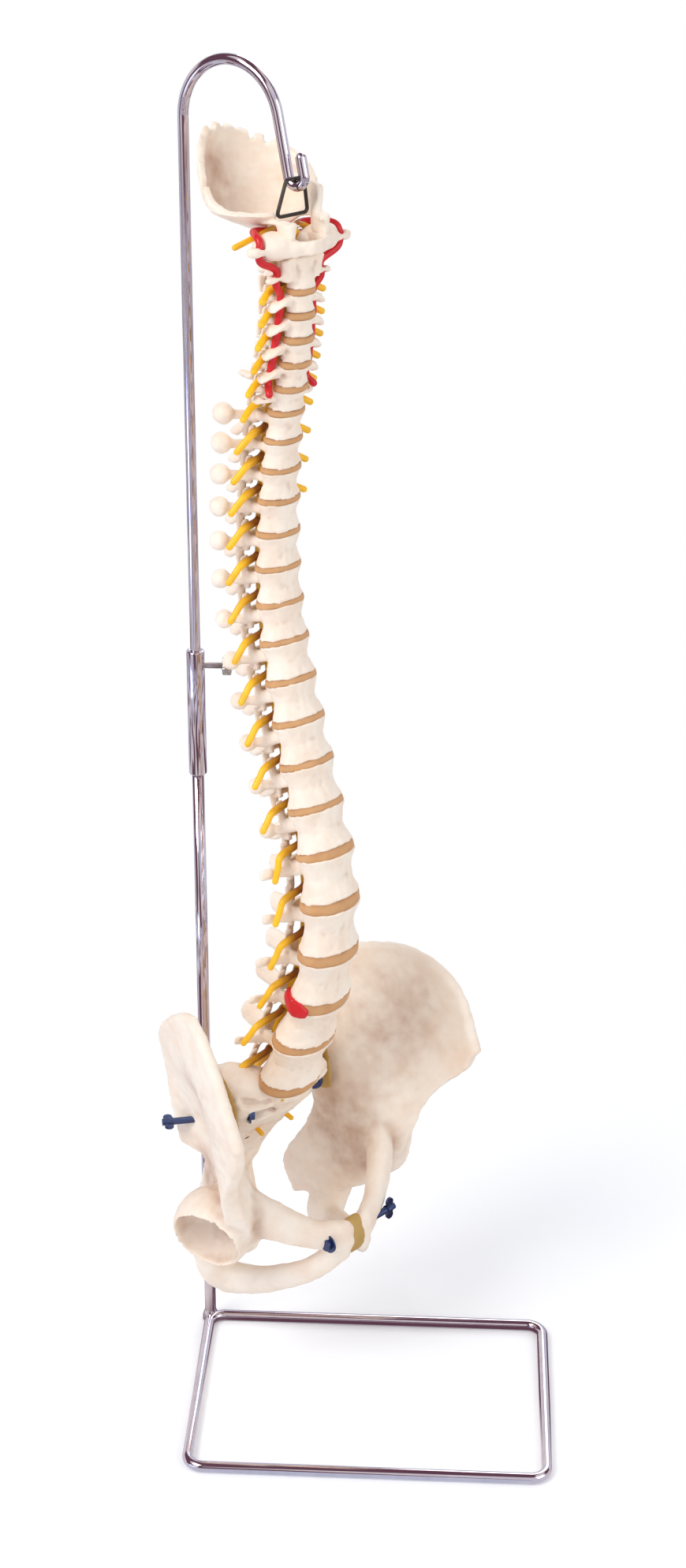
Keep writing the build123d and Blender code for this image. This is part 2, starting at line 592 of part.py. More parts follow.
def wing_nut(end, start):
    """Hub with two rounded ears, screwed on near the bolt's end."""
    end, start = Vector(*end), Vector(*start)
    plane = Plane(origin=end + (start - end).normalized() * nut_setback, z_dir=end - start)
    hub = extrude(plane * Circle(nut_hub / 2), nut_height)
    ears = [plane * Location((side * nut_hub * 0.85, 0, nut_height * 0.8), (90, 0, 0))
            * Cylinder(nut_ear / 2, nut_ear_thickness) for side in (-1, 1)]
    hole = extrude(plane * Circle(bolt_diameter / 2 + bolt_clearance), 4 * nut_height, both=True)
    return hub.fuse(*ears) - hole


def loop_solid():
    """Closed loop of stiff wire: its top lies in the hook and its foot holds the cord's end."""
    low = loop_z - loop_height
    path = FilletPolyline((0, -loop_top_half, loop_z), (0, loop_top_half, loop_z),
                          (0, loop_foot_half, low), (0, -loop_foot_half, low),
                          close=True, radius=loop_corner)
    start = Plane(origin=(0, 0, loop_z), z_dir=(0, 1, 0))
    return sweep(start * Circle(wire_diameter / 2), path=path)


def stand_frame():
    """Base bent from one rod, the lower upright and the sleeve for the upper rod, welded up."""
    half_width, half_depth = base_width / 2, base_depth / 2
    height = base_rod / 2
    path = FilletPolyline((-half_width, half_depth, height), (half_width, half_depth, height),
                          (half_width, -half_depth, height), (-half_width, -half_depth, height),
                          close=True, radius=base_bend_radius)
    start = Plane(origin=(0, half_depth, height), z_dir=(1, 0, 0))
    rim = sweep(start * Circle(base_rod / 2), path=path)
    foot = Location((upright_x, upright_y, 0))
    up = (Align.CENTER, Align.CENTER, Align.MIN)
    upright = foot * Location((0, 0, height)) * Cylinder(lower_rod / 2, lower_rod_top - height, align=up)
    sleeve = foot * Location((0, 0, sleeve_bottom)) * Cylinder(sleeve_diameter / 2, sleeve_top - sleeve_bottom,
                                                              align=up)
    bore = foot * Location((0, 0, lower_rod_top)) * Cylinder(upper_rod / 2 + sliding_clearance,
                                                            sleeve_top, align=up)
    screw_way = Location((upright_x, upright_y, screw_height), (0, 90, 0)) * Cylinder(
        screw_diameter / 2 + screw_clearance, sleeve_diameter, align=up)
    return rim.fuse(upright, sleeve) - bore - screw_way


def thumbscrew_solid():
    """Screw through the sleeve's wall with a knurled round head, its axis along +X."""
    up = (Align.CENTER, Align.CENTER, Align.MIN)
    reach = sleeve_diameter / 2 + screw_stem - upper_rod / 2 - seat_gap
    stem = Cylinder(screw_diameter / 2, reach, align=up)
    head = Location((0, 0, reach)) * Cylinder(screw_head_diameter / 2, screw_head_thickness, align=up)
    knurl = Cylinder(screw_head_diameter / screw_knurls / 2, 2 * screw_head_thickness)
    grooves = [Rotation(0, 0, 360 / screw_knurls * k) * Location((screw_head_diameter / 2, 0, reach + 6)) * knurl
               for k in range(screw_knurls)]
    screw = stem.fuse(head).cut(*grooves)
    return Location((upright_x + upper_rod / 2 + seat_gap, upright_y, screw_height), (0, 90, 0)) * screw


def hanger_solid():
    """Upper rod: straight in the sleeve, over in an arch, down a leg to the small open hook."""
    turn = math.radians(arch_direction)
    out = (math.cos(turn), math.sin(turn), 0)
    plane = Plane(origin=(upright_x, upright_y, 0), x_dir=out, z_dir=(out[1], -out[0], 0))
    top = (arch_radius, arch_centre_height + arch_radius)
    low = (hook_reach + hook_radius * math.sin(-slope), hook_height - hook_radius * math.cos(slope))
    far = (hook_reach + hook_radius * math.cos(slope), hook_height + hook_radius * math.sin(slope))
    tip = (far[0] - hook_tip_rise * math.sin(slope), far[1] + hook_tip_rise * math.cos(slope))
    path = Line((0, lower_rod_top), (0, arch_centre_height)) + ThreePointArc(
        (0, arch_centre_height), top, leg_top) + Line(leg_top, leg_foot)
    path = path + ThreePointArc(leg_foot, low, far) + Line(far, tip)
    start = Plane(origin=(upright_x, upright_y, lower_rod_top), z_dir=(0, 0, 1))
    rod = sweep(start * Circle(upper_rod / 2), path=plane * path)
    return rod.fuse(Location((plane * Location((*tip, 0))).position) * Sphere(upper_rod / 2))


# Bones of the column
facet_sets = {}
for i, level in enumerate(levels):
    below = levels[min(i + 1, len(levels) - 1)]
    depth = (level["depth"] + below["depth"]) / 2
    kind = below["region"] is lumbar
    facet_sets[level["name"]] = facets(level["disc_frame"], depth, below["canal"], level["disc"],
                                       below["lap"], kind)
neck_facets = facets(neck_disc_frame, top["depth"], top["canal"], neck_disc, top["lap"], False)
for i, level in enumerate(levels):
    superior = neck_facets[0] if i == 0 else facet_sets[levels[i - 1]["name"]][0]
    inferior = facet_sets[level["name"]][1]
    shapes[level["name"]] = vertebra(level, inferior, superior)

# Discs from the second neck bone down to the sacrum
shapes["disc_c2_c3"] = disc_solid(neck_disc_frame, neck_face_below, axis_frame * Location((0, 0, -axis_height / 2)),
                                  (top["width"], top["depth"]), (top["width"], top["depth"]))
for i, level in enumerate(levels):
    following = levels[i + 1]["name"] if i + 1 < len(levels) else "s1"
    own = (level["width"], level["depth"])
    under = own
    if i + 1 < len(levels):
        under = (levels[i + 1]["width"], levels[i + 1]["depth"])
    disc = disc_solid(level["disc_frame"], level["face_below"], level["lower_face"], under, own)
    if level["name"] == prolapse_disc:
        disc = disc.fuse(prolapse_solid(level))
    shapes["disc_%s_%s" % (level["name"], following)] = disc

shapes["c2"] = (axis_frame * axis_bone()).fuse(*neck_facets[1])
shapes["c1"] = atlas_frame * atlas_bone()
shapes["occipital_plate"] = skull_plate()

# Pelvis, drilled for its bolts
bolt_lines = [pubic_bolt, side_bolt, [(s, -y, z) for s, y, z in side_bolt]]
drill = bolt_diameter + 2 * bolt_clearance
holes = []
for start, end in bolt_lines:
    line = (Vector(*end) - Vector(*start)).normalized()
    spot = washer_diameter + 2 * bolt_clearance
    nut_face = Vector(*end) - line * nut_setback
    holes.append(branch([start, end], [(drill, drill)] * 2, sides=12))
    holes.append(branch([Vector(*start) + line * (washer_thickness), Vector(*start) - line * 20],
                        [(spot, spot)] * 2, sides=12))
    holes.append(branch([nut_face, nut_face + line * 20], [(26.0, 26.0)] * 2, sides=12))
left_hip = hip_bone().cut(*holes)
right_hip = mirror(hip_bone(), about=Plane.XZ).cut(*holes)
sacrum = sacrum_bone().cut(*holes)
strut = branch([(-25.5, 15.5, -8.0), (-20.0, 17.0, -28.0)], [(facet_width, 4.0), (10.0, 8.0)], flat=(1, 0, 0))
struts = [levels[-1]["disc_frame"] * side for side in both_sides(strut)]
shapes["sacrum"] = sacrum.fuse(*facet_sets["l5"][0], *struts)
shapes["left_hip_bone"] = left_hip
shapes["right_hip_bone"] = right_hip
shapes["pelvic_cartilages"] = pelvic_pads(shapes["sacrum"], left_hip, holes)
shapes["pelvis_bolts"] = Compound([screw_set(start, end) for start, end in bolt_lines])
shapes["wing_nuts"] = Compound([wing_nut(end, start) for start, end in bolt_lines])

# Soft cord, vessels and wire loop
shapes["spinal_cord"] = cord_solid()
shapes["vertebral_arteries"] = arteries_solid()
shapes["hanging_loop"] = loop_solid()
shapes = {name: spine_place * shape for name, shape in shapes.items()}

# Stand
shapes["base_frame"] = stand_frame()
shapes["thumbscrew"] = thumbscrew_solid()
shapes["hanger_rod"] = hanger_solid()

os.makedirs("parts", exist_ok=True)
for name, shape in shapes.items():
    export_step(shape, "parts/" + name + ".step")
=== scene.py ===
import math

import bmesh
import bpy
import numpy as np
from mathutils import Matrix


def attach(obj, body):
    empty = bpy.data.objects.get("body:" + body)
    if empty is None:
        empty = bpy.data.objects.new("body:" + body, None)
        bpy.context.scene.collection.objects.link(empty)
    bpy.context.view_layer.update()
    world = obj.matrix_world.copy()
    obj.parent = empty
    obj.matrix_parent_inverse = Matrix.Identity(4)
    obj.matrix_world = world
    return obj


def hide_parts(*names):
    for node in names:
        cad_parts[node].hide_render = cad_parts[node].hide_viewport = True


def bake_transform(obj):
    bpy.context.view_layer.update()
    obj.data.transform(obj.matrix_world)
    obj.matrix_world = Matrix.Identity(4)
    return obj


bl_info = {
    "name": "Spine Anatomy Model",
    "version": (1, 0, 0),
    "blender": (4, 5, 0),
    "location": "View3D > Sidebar > Spine",
    "description": "Dresses the packed spine model: cast bones, discs, nerves, vessels and chrome stand",
    "category": "Object",
}

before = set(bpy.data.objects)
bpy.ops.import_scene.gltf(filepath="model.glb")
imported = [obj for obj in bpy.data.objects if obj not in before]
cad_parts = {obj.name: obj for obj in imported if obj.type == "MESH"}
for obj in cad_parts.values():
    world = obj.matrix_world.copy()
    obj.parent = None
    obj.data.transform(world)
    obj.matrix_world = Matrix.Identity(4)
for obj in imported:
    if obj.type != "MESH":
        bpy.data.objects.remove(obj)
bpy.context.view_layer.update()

MM = 0.001
UP = (0, 0, 1)
SIDES = {"left": 1, "right": -1}

# Stand, in mm: the base's centre lines, sleeve, screw, upper rod with its arch, leg and hook, and the wire
BASE_HALF_WIDTH = 128.5
BASE_HALF_DEPTH = 88.5
BASE_CORNER = 12.0
SLEEVE_BOTTOM = 466.0
SLEEVE_TOP = 558.0
BORE_BOTTOM = 506.0
SCREW_Z = 547.0
UPPER_ROD = 7.0
ARCH_TURN = math.radians(-33.7)
ARCH_RADIUS = 38.0
ARCH_Z = 915.0
LEG_LENGTH = 37.0
LEG_SLOPE = math.radians(12.5)
HOOK_RADIUS = 6.0
WIRE = 2.4
WIRE_GAP = 0.05

# The column hangs under the hook, its front turned this far from +X toward the viewer
SPINE_TURN = math.radians(41.7)
FORWARD = np.round([math.cos(SPINE_TURN), -math.sin(SPINE_TURN)], 4)
LEFT = np.round([math.sin(SPINE_TURN), math.cos(SPINE_TURN)], 4)
HOOK_REACH = (ARCH_RADIUS + (ARCH_RADIUS + HOOK_RADIUS) * math.cos(LEG_SLOPE)
              + LEG_LENGTH * math.sin(LEG_SLOPE))
HOOK_Z = ARCH_Z + (ARCH_RADIUS + HOOK_RADIUS) * math.sin(LEG_SLOPE) - LEG_LENGTH * math.cos(LEG_SLOPE)
HOOK_XY = np.round([HOOK_REACH * math.cos(ARCH_TURN) - BASE_HALF_WIDTH,
                    HOOK_REACH * math.sin(ARCH_TURN) + BASE_HALF_DEPTH], 3)
LOOP_Z = round(HOOK_Z - HOOK_RADIUS + UPPER_ROD / 2 + WIRE / 2 + WIRE_GAP, 2)

# Column: sizes at the first and the last bone of each region, with the canal's half width and half depth
REGIONS = (
    {"names": ["c%d" % n for n in range(3, 8)], "pitch": (15.0, 17.0), "disc": (4.5, 4.8),
     "width": (19.0, 25.0), "depth": (15.0, 16.5), "canal": (10.5, 7.5)},
    {"names": ["t%d" % n for n in range(1, 13)], "pitch": (19.0, 32.0), "disc": (4.2, 6.0),
     "width": (26.5, 40.0), "depth": (17.0, 30.0), "canal": (8.5, 7.5)},
    {"names": ["l%d" % n for n in range(1, 6)], "pitch": (37.5, 42.5), "disc": (8.5, 10.0),
     "width": (42.0, 49.0), "depth": (31.0, 34.0), "canal": (11.0, 8.0)},
)
LEANS = {"c3": 3.0, "c6": 14.0, "c7": 14.0, "t1": 9.0, "t5": 1.0, "t8": -13.0, "t12": -17.0, "l2": 2.0,
         "l4": 22.0, "l5": 20.0}
PROMONTORY = (-12.0, 246.0)
SACRAL_TILT = 27.0
AXIS_HEIGHT = 19.0


def column_levels():
    """A dict for each bone from the second of the neck down: middle (s forward, z up), forward lean and
    sizes, to 0.01 mm. Sizes run evenly along a region and leans between the set ones, and places are worked
    upward from the sacrum."""
    rows = []
    for region in REGIONS:
        last = len(region["names"]) - 1
        for i, name in enumerate(region["names"]):
            row = {key: region[key][0] + (region[key][1] - region[key][0]) * i / last
                   for key in ("pitch", "disc", "width", "depth")}
            row["height"] = row["pitch"] - row["disc"]
            row["half_width"], row["half_depth"] = region["canal"]
            rows.append({"name": name, **row})
    names = [row["name"] for row in rows]
    leans = np.interp(range(len(rows)), [names.index(name) for name in LEANS], list(LEANS.values()))
    s, z = PROMONTORY
    below = math.radians(SACRAL_TILT)
    for row, lean in reversed(list(zip(rows, leans))):
        turn = math.radians(lean)
        s += row["disc"] / 2 * math.sin(below)
        z += row["disc"] / 2 * math.cos(below)
        middle = (row["disc"] + row["height"]) / 2
        row.update(lean=float(lean), s=s + middle * math.sin(turn), z=z + middle * math.cos(turn))
        s += (middle + row["height"] / 2) * math.sin(turn)
        z += (middle + row["height"] / 2) * math.cos(turn)
        below = turn
    top = rows[0]
    s += top["disc"] / 2 * math.sin(below)
    z += top["disc"] / 2 * math.cos(below)
    axis = {**top, "name": "c2", "lean": 0.0, "height": AXIS_HEIGHT, "s": s,
            "z": z + (top["disc"] + AXIS_HEIGHT) / 2}
    return [{key: value if key == "name" else round(value, 2) for key, value in row.items()}
            for row in (axis, *rows)]


LEVELS = column_levels()
NAMES = [row["name"] for row in LEVELS]
NECK_WINGS = range(1, 5)
CHEST = range(6, 18)
AXIS_S = LEVELS[0]["s"]
ATLAS_Z = LEVELS[0]["z"] + AXIS_HEIGHT / 2 + 6.5
SKULL_Z = ATLAS_Z + 8.25
CORD_TOP = 853.7
# The bodies and discs are this much wider than the solids
BODY_WIDENING = 1.13


def to_row(points):
    """Column coordinates (forward, left, up) in mm to the row frame in metres."""
    points = np.asarray(points, float)
    plan = HOOK_XY + points[..., 0:1] * FORWARD + points[..., 1:2] * LEFT
    return np.concatenate((plan, points[..., 2:3]), axis=-1) * MM


def to_column(points):
    """Points of the row frame in mm to column coordinates."""
    plan = points[:, :2] - HOOK_XY
    return np.stack((plan @ FORWARD, plan @ LEFT, points[:, 2]), -1)


def leaned(points, s, z, lean):
    """Points of a frame that leans forward by so many degrees at (s, z), in column coordinates."""
    points = np.asarray(points, float)
    turn = math.radians(lean)
    x, y, up = points[..., 0], points[..., 1], points[..., 2]
    return np.stack((s + x * math.cos(turn) + up * math.sin(turn), y,
                     z - x * math.sin(turn) + up * math.cos(turn)), axis=-1)


def on_level(points, row):
    """Points of a bone's own frame in column coordinates."""
    return leaned(points, row["s"], row["z"], row["lean"])


def disc_place(index):
    """Centre of the disc below a level and the leans of the faces below and above it."""
    row = LEVELS[index]
    below = LEVELS[index + 1]["lean"] if index + 1 < len(LEVELS) else SACRAL_TILT
    centre = on_level((0, 0, -(row["height"] + row["disc"]) / 2), row)
    return centre[0], centre[2], below, row["lean"]


def canal_x(row):
    """Centre of the canal, behind the middle of the body."""
    return -(row["depth"] / 2 + row["half_depth"] - 1.5)


# Meshes

def piece_from(name, co, faces, smooth=True):
    """Object at the origin whose mesh holds the points and faces, turned outward."""
    mesh = bpy.data.meshes.new(name)
    mesh.from_pydata(np.asarray(co, float).reshape(-1, 3).tolist(), [], faces)
    mesh.update()
    work = bmesh.new()
    work.from_mesh(mesh)
    bmesh.ops.recalc_face_normals(work, faces=work.faces)
    work.to_mesh(mesh)
    work.free()
    mesh.polygons.foreach_set("use_smooth", np.full(len(mesh.polygons), smooth))
    obj = bpy.data.objects.new(name, mesh)
    bpy.context.scene.collection.objects.link(obj)
    return obj


def grid_faces(rows, columns, loop_rows=False):
    """Quads of a grid whose columns close on themselves. Its rows do too if asked, or else get end caps."""
    i = np.arange(rows if loop_rows else rows - 1)[:, None]
    j = np.arange(columns)[None, :]
    here = i * columns + j
    side = i * columns + (j + 1) % columns
    up = (i + 1) % rows * columns
    quads = np.stack((here, side, up + (j + 1) % columns, up + j), axis=-1).reshape(-1, 4).tolist()
    if not loop_rows:
        quads.append(list(range(columns))[::-1])
        quads.append(list(range((rows - 1) * columns, rows * columns)))
    return quads


def grid_piece(name, points, loop_rows=False):
    """Closed surface from a grid of points (rows, columns, 3) in metres."""
    return piece_from(name, points, grid_faces(points.shape[0], points.shape[1], loop_rows))


def unit(vectors):
    """Vectors of length 1 with the same headings."""
    return vectors / np.linalg.norm(vectors, axis=-1, keepdims=True)


def smooth_path(points, steps):
    """Catmull-Rom curve: between two points, the cubic whose slope at each is half its neighbours' chord."""
    p = np.asarray(points, float)
    p = np.concatenate((2 * p[:1] - p[1:2], p, 2 * p[-1:] - p[-2:-1]))
    t = np.linspace(0, 1, steps, endpoint=False)[None, :, None]
    a, b, c, d = (p[k:len(p) - 3 + k][:, None, :] for k in range(4))
    bend = (2 * a - 5 * b + 4 * c - d) * t ** 2 + (3 * b - a - 3 * c + d) * t ** 3
    curve = 0.5 * (2 * b + (c - a) * t + bend)
    return np.concatenate((curve.reshape(-1, p.shape[1]), p[-2:-1]))


def rounded_loop(corners, radius, steps):
    """Closed path through the corners of a flat polygon, each rounded by an arc of the radius."""
    corners = np.asarray(corners, float)
    before = unit(np.roll(corners, 1, axis=0) - corners)
    after = unit(np.roll(corners, -1, axis=0) - corners)
    half = np.arccos(np.clip((before * after).sum(1), -1, 1))[:, None] / 2
    bisector = unit(before + after)
    across = unit(before - after)
    centre = corners + bisector * radius / np.sin(half)
    sweep = (math.pi / 2 - half)[:, :, None] * np.linspace(-1, 1, steps)[None, :, None]
    arcs = centre[:, None] - radius * (bisector[:, None] * np.cos(sweep) + across[:, None] * np.sin(sweep))
    return arcs.reshape(-1, 3)


END_RINGS = 5


def swept(path, half, over, sides, closed=False):
    """Oval carried along a path: centre + half width · cos a · across + half height · sin a · upward, where
    across is square to the path and to the vector 'over'. Open ends are rounded off by rings that shrink as
    a quarter circle."""
    if closed:
        heading = unit(np.roll(path, -1, axis=0) - np.roll(path, 1, axis=0))
    else:
        heading = unit(np.gradient(path, axis=0))
        swing = np.linspace(0, math.pi / 2 * 0.94, END_RINGS + 1)[1:, None]
        first = path[0] - heading[0] * half[0].min() * np.sin(swing)[::-1]
        last = path[-1] + heading[-1] * half[-1].min() * np.sin(swing)
        path = np.concatenate((first, path, last))
        half = np.concatenate((half[0] * np.cos(swing)[::-1], half, half[-1] * np.cos(swing)))
        heading = np.pad(heading, ((END_RINGS, END_RINGS), (0, 0)), mode="edge")
    across = unit(np.cross(heading, np.asarray(over, float)))
    upward = np.cross(across, heading)
    a = np.linspace(0, 2 * math.pi, sides, endpoint=False)[None, :, None]
    wide = half[:, None, :1] * np.cos(a) * across[:, None]
    high = half[:, None, 1:] * np.sin(a) * upward[:, None]
    return path[:, None] + wide + high


def carried(path, radius, over, sides, closed=False):
    """Circle carried along a path by 'swept', its radius one number or one for each point."""
    half = np.broadcast_to(np.asarray(radius, float).reshape(-1, 1), (len(path), 2))
    return swept(path, half, over, sides, closed)


def limb(points, sizes, over, sides=24, steps=8):
    """Oval carried by 'swept' along a smooth curve, its widths and heights running smoothly too. Points and
    sizes are in mm, in column coordinates."""
    both = smooth_path(np.concatenate((points, sizes), axis=1), steps)
    grid = swept(both[:, :3], both[:, 3:] / 2, over, sides)
    return grid.reshape(-1, 3), grid_faces(grid.shape[0], sides)


def turned(profile, origin, axis, side, columns=48):
    """Profile of (radius, along) turned about an axis: origin + along · axis + radius (cos a · side + sin a ·
    third), where third is square to both."""
    axis, side = np.asarray(axis, float), np.asarray(side, float)
    a = np.linspace(0, 2 * math.pi, columns, endpoint=False)[None, :, None]
    ring = np.cos(a) * side + np.sin(a) * np.cross(axis, side)
    radius, along = profile[:, 0][:, None, None], profile[:, 1][:, None, None]
    return np.asarray(origin, float) + along * axis + radius * ring


def ball(centre, radius, rows=24, columns=32):
    """Sphere: centre + radius (sin p cos a, sin p sin a, cos p), capped a hair before its poles."""
    p = np.linspace(0.04, math.pi - 0.04, rows)[:, None]
    a = np.linspace(0, 2 * math.pi, columns, endpoint=False)[None, :]
    grid = np.stack((np.sin(p) * np.cos(a), np.sin(p) * np.sin(a), np.cos(p) * np.ones_like(a)), -1)
    return (np.asarray(centre, float) + radius * grid).reshape(-1, 3), grid_faces(rows, columns)


def plate(grid, thickness, steps=8):
    """Curved plate: a smooth surface through a grid of points, thickened to both sides along its normal by
    half of a thickness that runs smoothly between the grid's values."""
    both = np.concatenate((np.asarray(grid, float), np.asarray(thickness, float)[..., None]), axis=-1)
    both = np.stack([smooth_path(line, steps) for line in both])
    both = np.stack([smooth_path(line, steps) for line in both.transpose(1, 0, 2)]).transpose(1, 0, 2)
    middle, half = both[..., :3], both[..., 3:] / 2
    normal = unit(np.cross(np.gradient(middle, axis=0), np.gradient(middle, axis=1)))
    rows, columns = middle.shape[:2]
    count = rows * columns
    co = np.concatenate(((middle + normal * half).reshape(-1, 3), (middle - normal * half).reshape(-1, 3)))
    index = np.arange(count).reshape(rows, columns)
    here = index[:-1, :-1].ravel()
    top = np.stack((here, here + columns, here + columns + 1, here + 1), -1)
    rim = np.concatenate((index[0], index[1:, -1], index[-1, -2::-1], index[-2:0:-1, 0]))
    after = np.roll(rim, -1)
    wall = np.stack((rim, after, after + count, rim + count), -1)
    return co, np.concatenate((top, top[:, ::-1] + count, wall)).tolist()


def field(co, wavelength, seed, waves=20):
    """Smooth random relief between about -1 and 1: the mean of plane waves in random directions."""
    rng = np.random.default_rng(seed)
    directions = unit(rng.normal(size=(waves, 3)))
    lengths = wavelength * rng.uniform(0.75, 1.35, waves)
    phases = rng.uniform(0, 2 * math.pi, waves)
    total = np.zeros(len(co))
    for direction, length, phase in zip(directions, lengths, phases):
        total += np.sin(co @ direction * (2 * math.pi / length) + phase)
    return total / math.sqrt(waves) * 0.8


def evened(values, edges, rounds):
    """Rows of values on the points after so many rounds of taking each point's mean with its neighbours."""
    a, b = edges[:, 0], edges[:, 1]
    count = len(values)
    degree = np.bincount(a, minlength=count) + np.bincount(b, minlength=count) + 1.0
    values = values.copy()
    for _ in range(rounds):
        for k in range(values.shape[1]):
            column = values[:, k]
            near = np.bincount(a, column[b], count) + np.bincount(b, column[a], count)
            values[:, k] = (near + column) / degree
    return values


def arrays_of(mesh):
    """Points, normals and edges of a mesh."""
    co = np.empty(len(mesh.vertices) * 3)
    normal = np.empty_like(co)
    edges = np.empty(len(mesh.edges) * 2, np.int64)
    mesh.vertices.foreach_get("co", co)
    mesh.vertices.foreach_get("normal", normal)
    mesh.edges.foreach_get("vertices", edges)
    return co.reshape(-1, 3), normal.reshape(-1, 3), edges.reshape(-1, 2)


def moved(mesh, co):
    """Points, normals and edges of a mesh after its points are set."""
    mesh.vertices.foreach_set("co", co.ravel())
    mesh.update()
    return arrays_of(mesh)


def attribute(mesh, name, values):
    """Number on every point, which a material reads by its name."""
    kept = mesh.attributes.new(name, "FLOAT", "POINT")
    kept.data.foreach_set("value", np.asarray(values, np.float32))


def strand(name, path, radius, over, sides, root):
    """Round limb along a path in mm, darkened on each of its rings by a share of painted shade."""
    grid = carried(to_row(path), radius * MM, over, sides)
    obj = grid_piece(name, grid)
    attribute(obj.data, "root", np.repeat(np.broadcast_to(root, grid.shape[0]), sides))
    return obj


def node_solid(node):
    """Points (in mm, row frame) and faces of a CAD solid, its loose triangles merged."""
    work = bmesh.new()
    work.from_mesh(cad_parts[node].data)
    bmesh.ops.remove_doubles(work, verts=work.verts, dist=1e-6)
    co = np.array([v.co for v in work.verts]) / MM
    work.verts.index_update()
    faces = [[v.index for v in f.verts] for f in work.faces]
    work.free()
    return co, faces


def joined(solids):
    """Points and faces of several closed solids as one list."""
    points, faces, start = [], [], 0
    for co, quads in solids:
        points.append(co)
        faces += [[index + start for index in quad] for quad in quads]
        start += len(co)
    return np.concatenate(points), faces


def placed(solid):
    """A solid in column coordinates moved to the row frame, both in mm."""
    return to_row(solid[0]) / MM, solid[1]


def mirrored(solid, sign):
    """The solid, or for -1 its mirror image on the patient's right."""
    return np.asarray(solid[0], float) * (1, sign, 1), [list(face)[::sign] for face in solid[1]]


# A body's waist and rims as shares of its width, and its rims' reach over a disc as a share of the disc
WAIST = 0.085
RIM = 0.045
REACH = 0.14


def flared(row):
    """Function that draws in a body's waist and lets its rims stand out and reach over the discs. With u the
    height over the middle, from -1 to 1: sizes times 1 - WAIST (1 - u²) + RIM u⁶, heights plus REACH · disc ·
    u⁵."""
    turn = math.radians(row["lean"])
    ahead = np.array([math.cos(turn), 0, -math.sin(turn)])
    above = np.array([math.sin(turn), 0, math.cos(turn)])
    centre = np.array([row["s"], 0, row["z"]])

    def shape(points):
        column = to_column(points) - centre
        x, y, up = column @ ahead, column[:, 1], column @ above
        u = np.clip(up / (row["height"] / 2), -1, 1)
        # 1 on the body's front and sides, down to 0 at the arch's roots, the side processes and past the rims
        front = np.clip((x + row["depth"] * 0.42) / (row["depth"] * 0.2), 0, 1)
        side = np.clip((row["width"] * 0.56 - np.abs(y)) / 2, 0, 1)
        near = front * side * np.clip((row["height"] * 0.64 - np.abs(up)) / (row["height"] * 0.06), 0, 1)
        size = 1 + near * (RIM * u ** 6 - WAIST * (1 - u * u))
        up = up + near * row["disc"] * REACH * u ** 5
        column = (x * size * (1 + 0.04 * near))[:, None] * ahead + up[:, None] * above + centre
        column[:, 1] = y * size * (1 + (BODY_WIDENING - 1) * near)
        return to_row(column) / MM
    return shape


def widened_ring(points):
    """The first neck bone with longer wings and a stouter bar: y times 1 + 0.25 beyond 12 mm, z times 1.3."""
    column = to_column(points)
    far = np.clip((np.abs(column[:, 1]) - 12) / 10, 0, 1)
    column[:, 1] *= 1 + 0.25 * far
    column[:, 2] = ATLAS_Z - 1.5 + (column[:, 2] - ATLAS_Z + 1.5) * 1.3
    return to_row(column) / MM


def tipped_bowl(points):
    """The skull plate with its right wall lowered, but for the back, and its left wall and its back raised,
    by a share that grows over the first 25 mm above the floor."""
    column = to_column(points)
    y = column[:, 1]
    share = np.clip((column[:, 2] - SKULL_Z - 2) / 25, 0, 1)
    ahead = np.clip((column[:, 0] + 66) / 30, 0, 1)
    behind = np.clip((-46 - column[:, 0]) / 18, 0, 1) * np.clip((22 - y) / 30, 0, 1)
    column[:, 2] += share * (np.where(y > 0, 0.1 * y, 0.4 * y * ahead) + 9 * behind)
    return to_row(column) / MM


def even_grid(obj, voxel):
    """Live modifier that rebuilds a closed surface on a grid of so many mm."""
    grid = obj.modifiers.new("grid", "REMESH")
    grid.mode = "VOXEL"
    grid.voxel_size = voxel * MM


def cast_piece(name, solids, voxel, rounds, relief, seed, cut=None, shape=None):
    """Closed solids in mm of the row frame as one cast surface: rebuilt together on an even grid, a ball cut
    out if asked, its edges worn round, its points moved by the function 'shape', then lifted and sunk along
    its normals by two random reliefs. A point attribute keeps how far each point lies under the evened-out
    surface, in units of 0.4 mm; the materials darken the recesses by it, as a brown wash and as painted
    shade."""
    co, faces = joined(solids)
    obj = piece_from(name, co * MM, faces)
    mesh = obj.data
    even_grid(obj, voxel)
    if cut:
        cutter = piece_from(name + "_cutter", cut[0] * MM, cut[1])
        hollowed = obj.modifiers.new("socket", "BOOLEAN")
        hollowed.operation = "DIFFERENCE"
        hollowed.solver = "EXACT"
        hollowed.object = cutter
        even_grid(obj, voxel)
    soften = obj.modifiers.new("worn", "SMOOTH")
    soften.factor = 0.5
    soften.iterations = rounds
    bpy.context.view_layer.update()
    final = bpy.data.meshes.new_from_object(obj.evaluated_get(bpy.context.evaluated_depsgraph_get()))
    obj.modifiers.clear()
    obj.data = final
    bpy.data.meshes.remove(mesh)
    if cut:
        bpy.data.objects.remove(cutter)
    co, normal, edges = arrays_of(final)
    if shape:
        co, normal, edges = moved(final, shape(co / MM) * MM)
    lift = relief[0] * field(co, 11 * MM, seed) + relief[1] * field(co, 4.2 * MM, seed + 1)
    co, normal, edges = moved(final, co + normal * (lift * MM)[:, None])
    near = evened(co, edges, 6)
    wide = evened(near, edges, 24)
    # Depth under the evened surface: the materials darken by it as a brown wash and as painted shade in the
    # recesses
    hollow = ((near - co) * normal).sum(1) * 2.0 + ((wide - co) * normal).sum(1)
    attribute(final, "hollow", evened(hollow[:, None], edges, 2)[:, 0] / (0.4 * MM))
    final.polygons.foreach_set("use_smooth", np.ones(len(final.polygons), bool))
    return obj


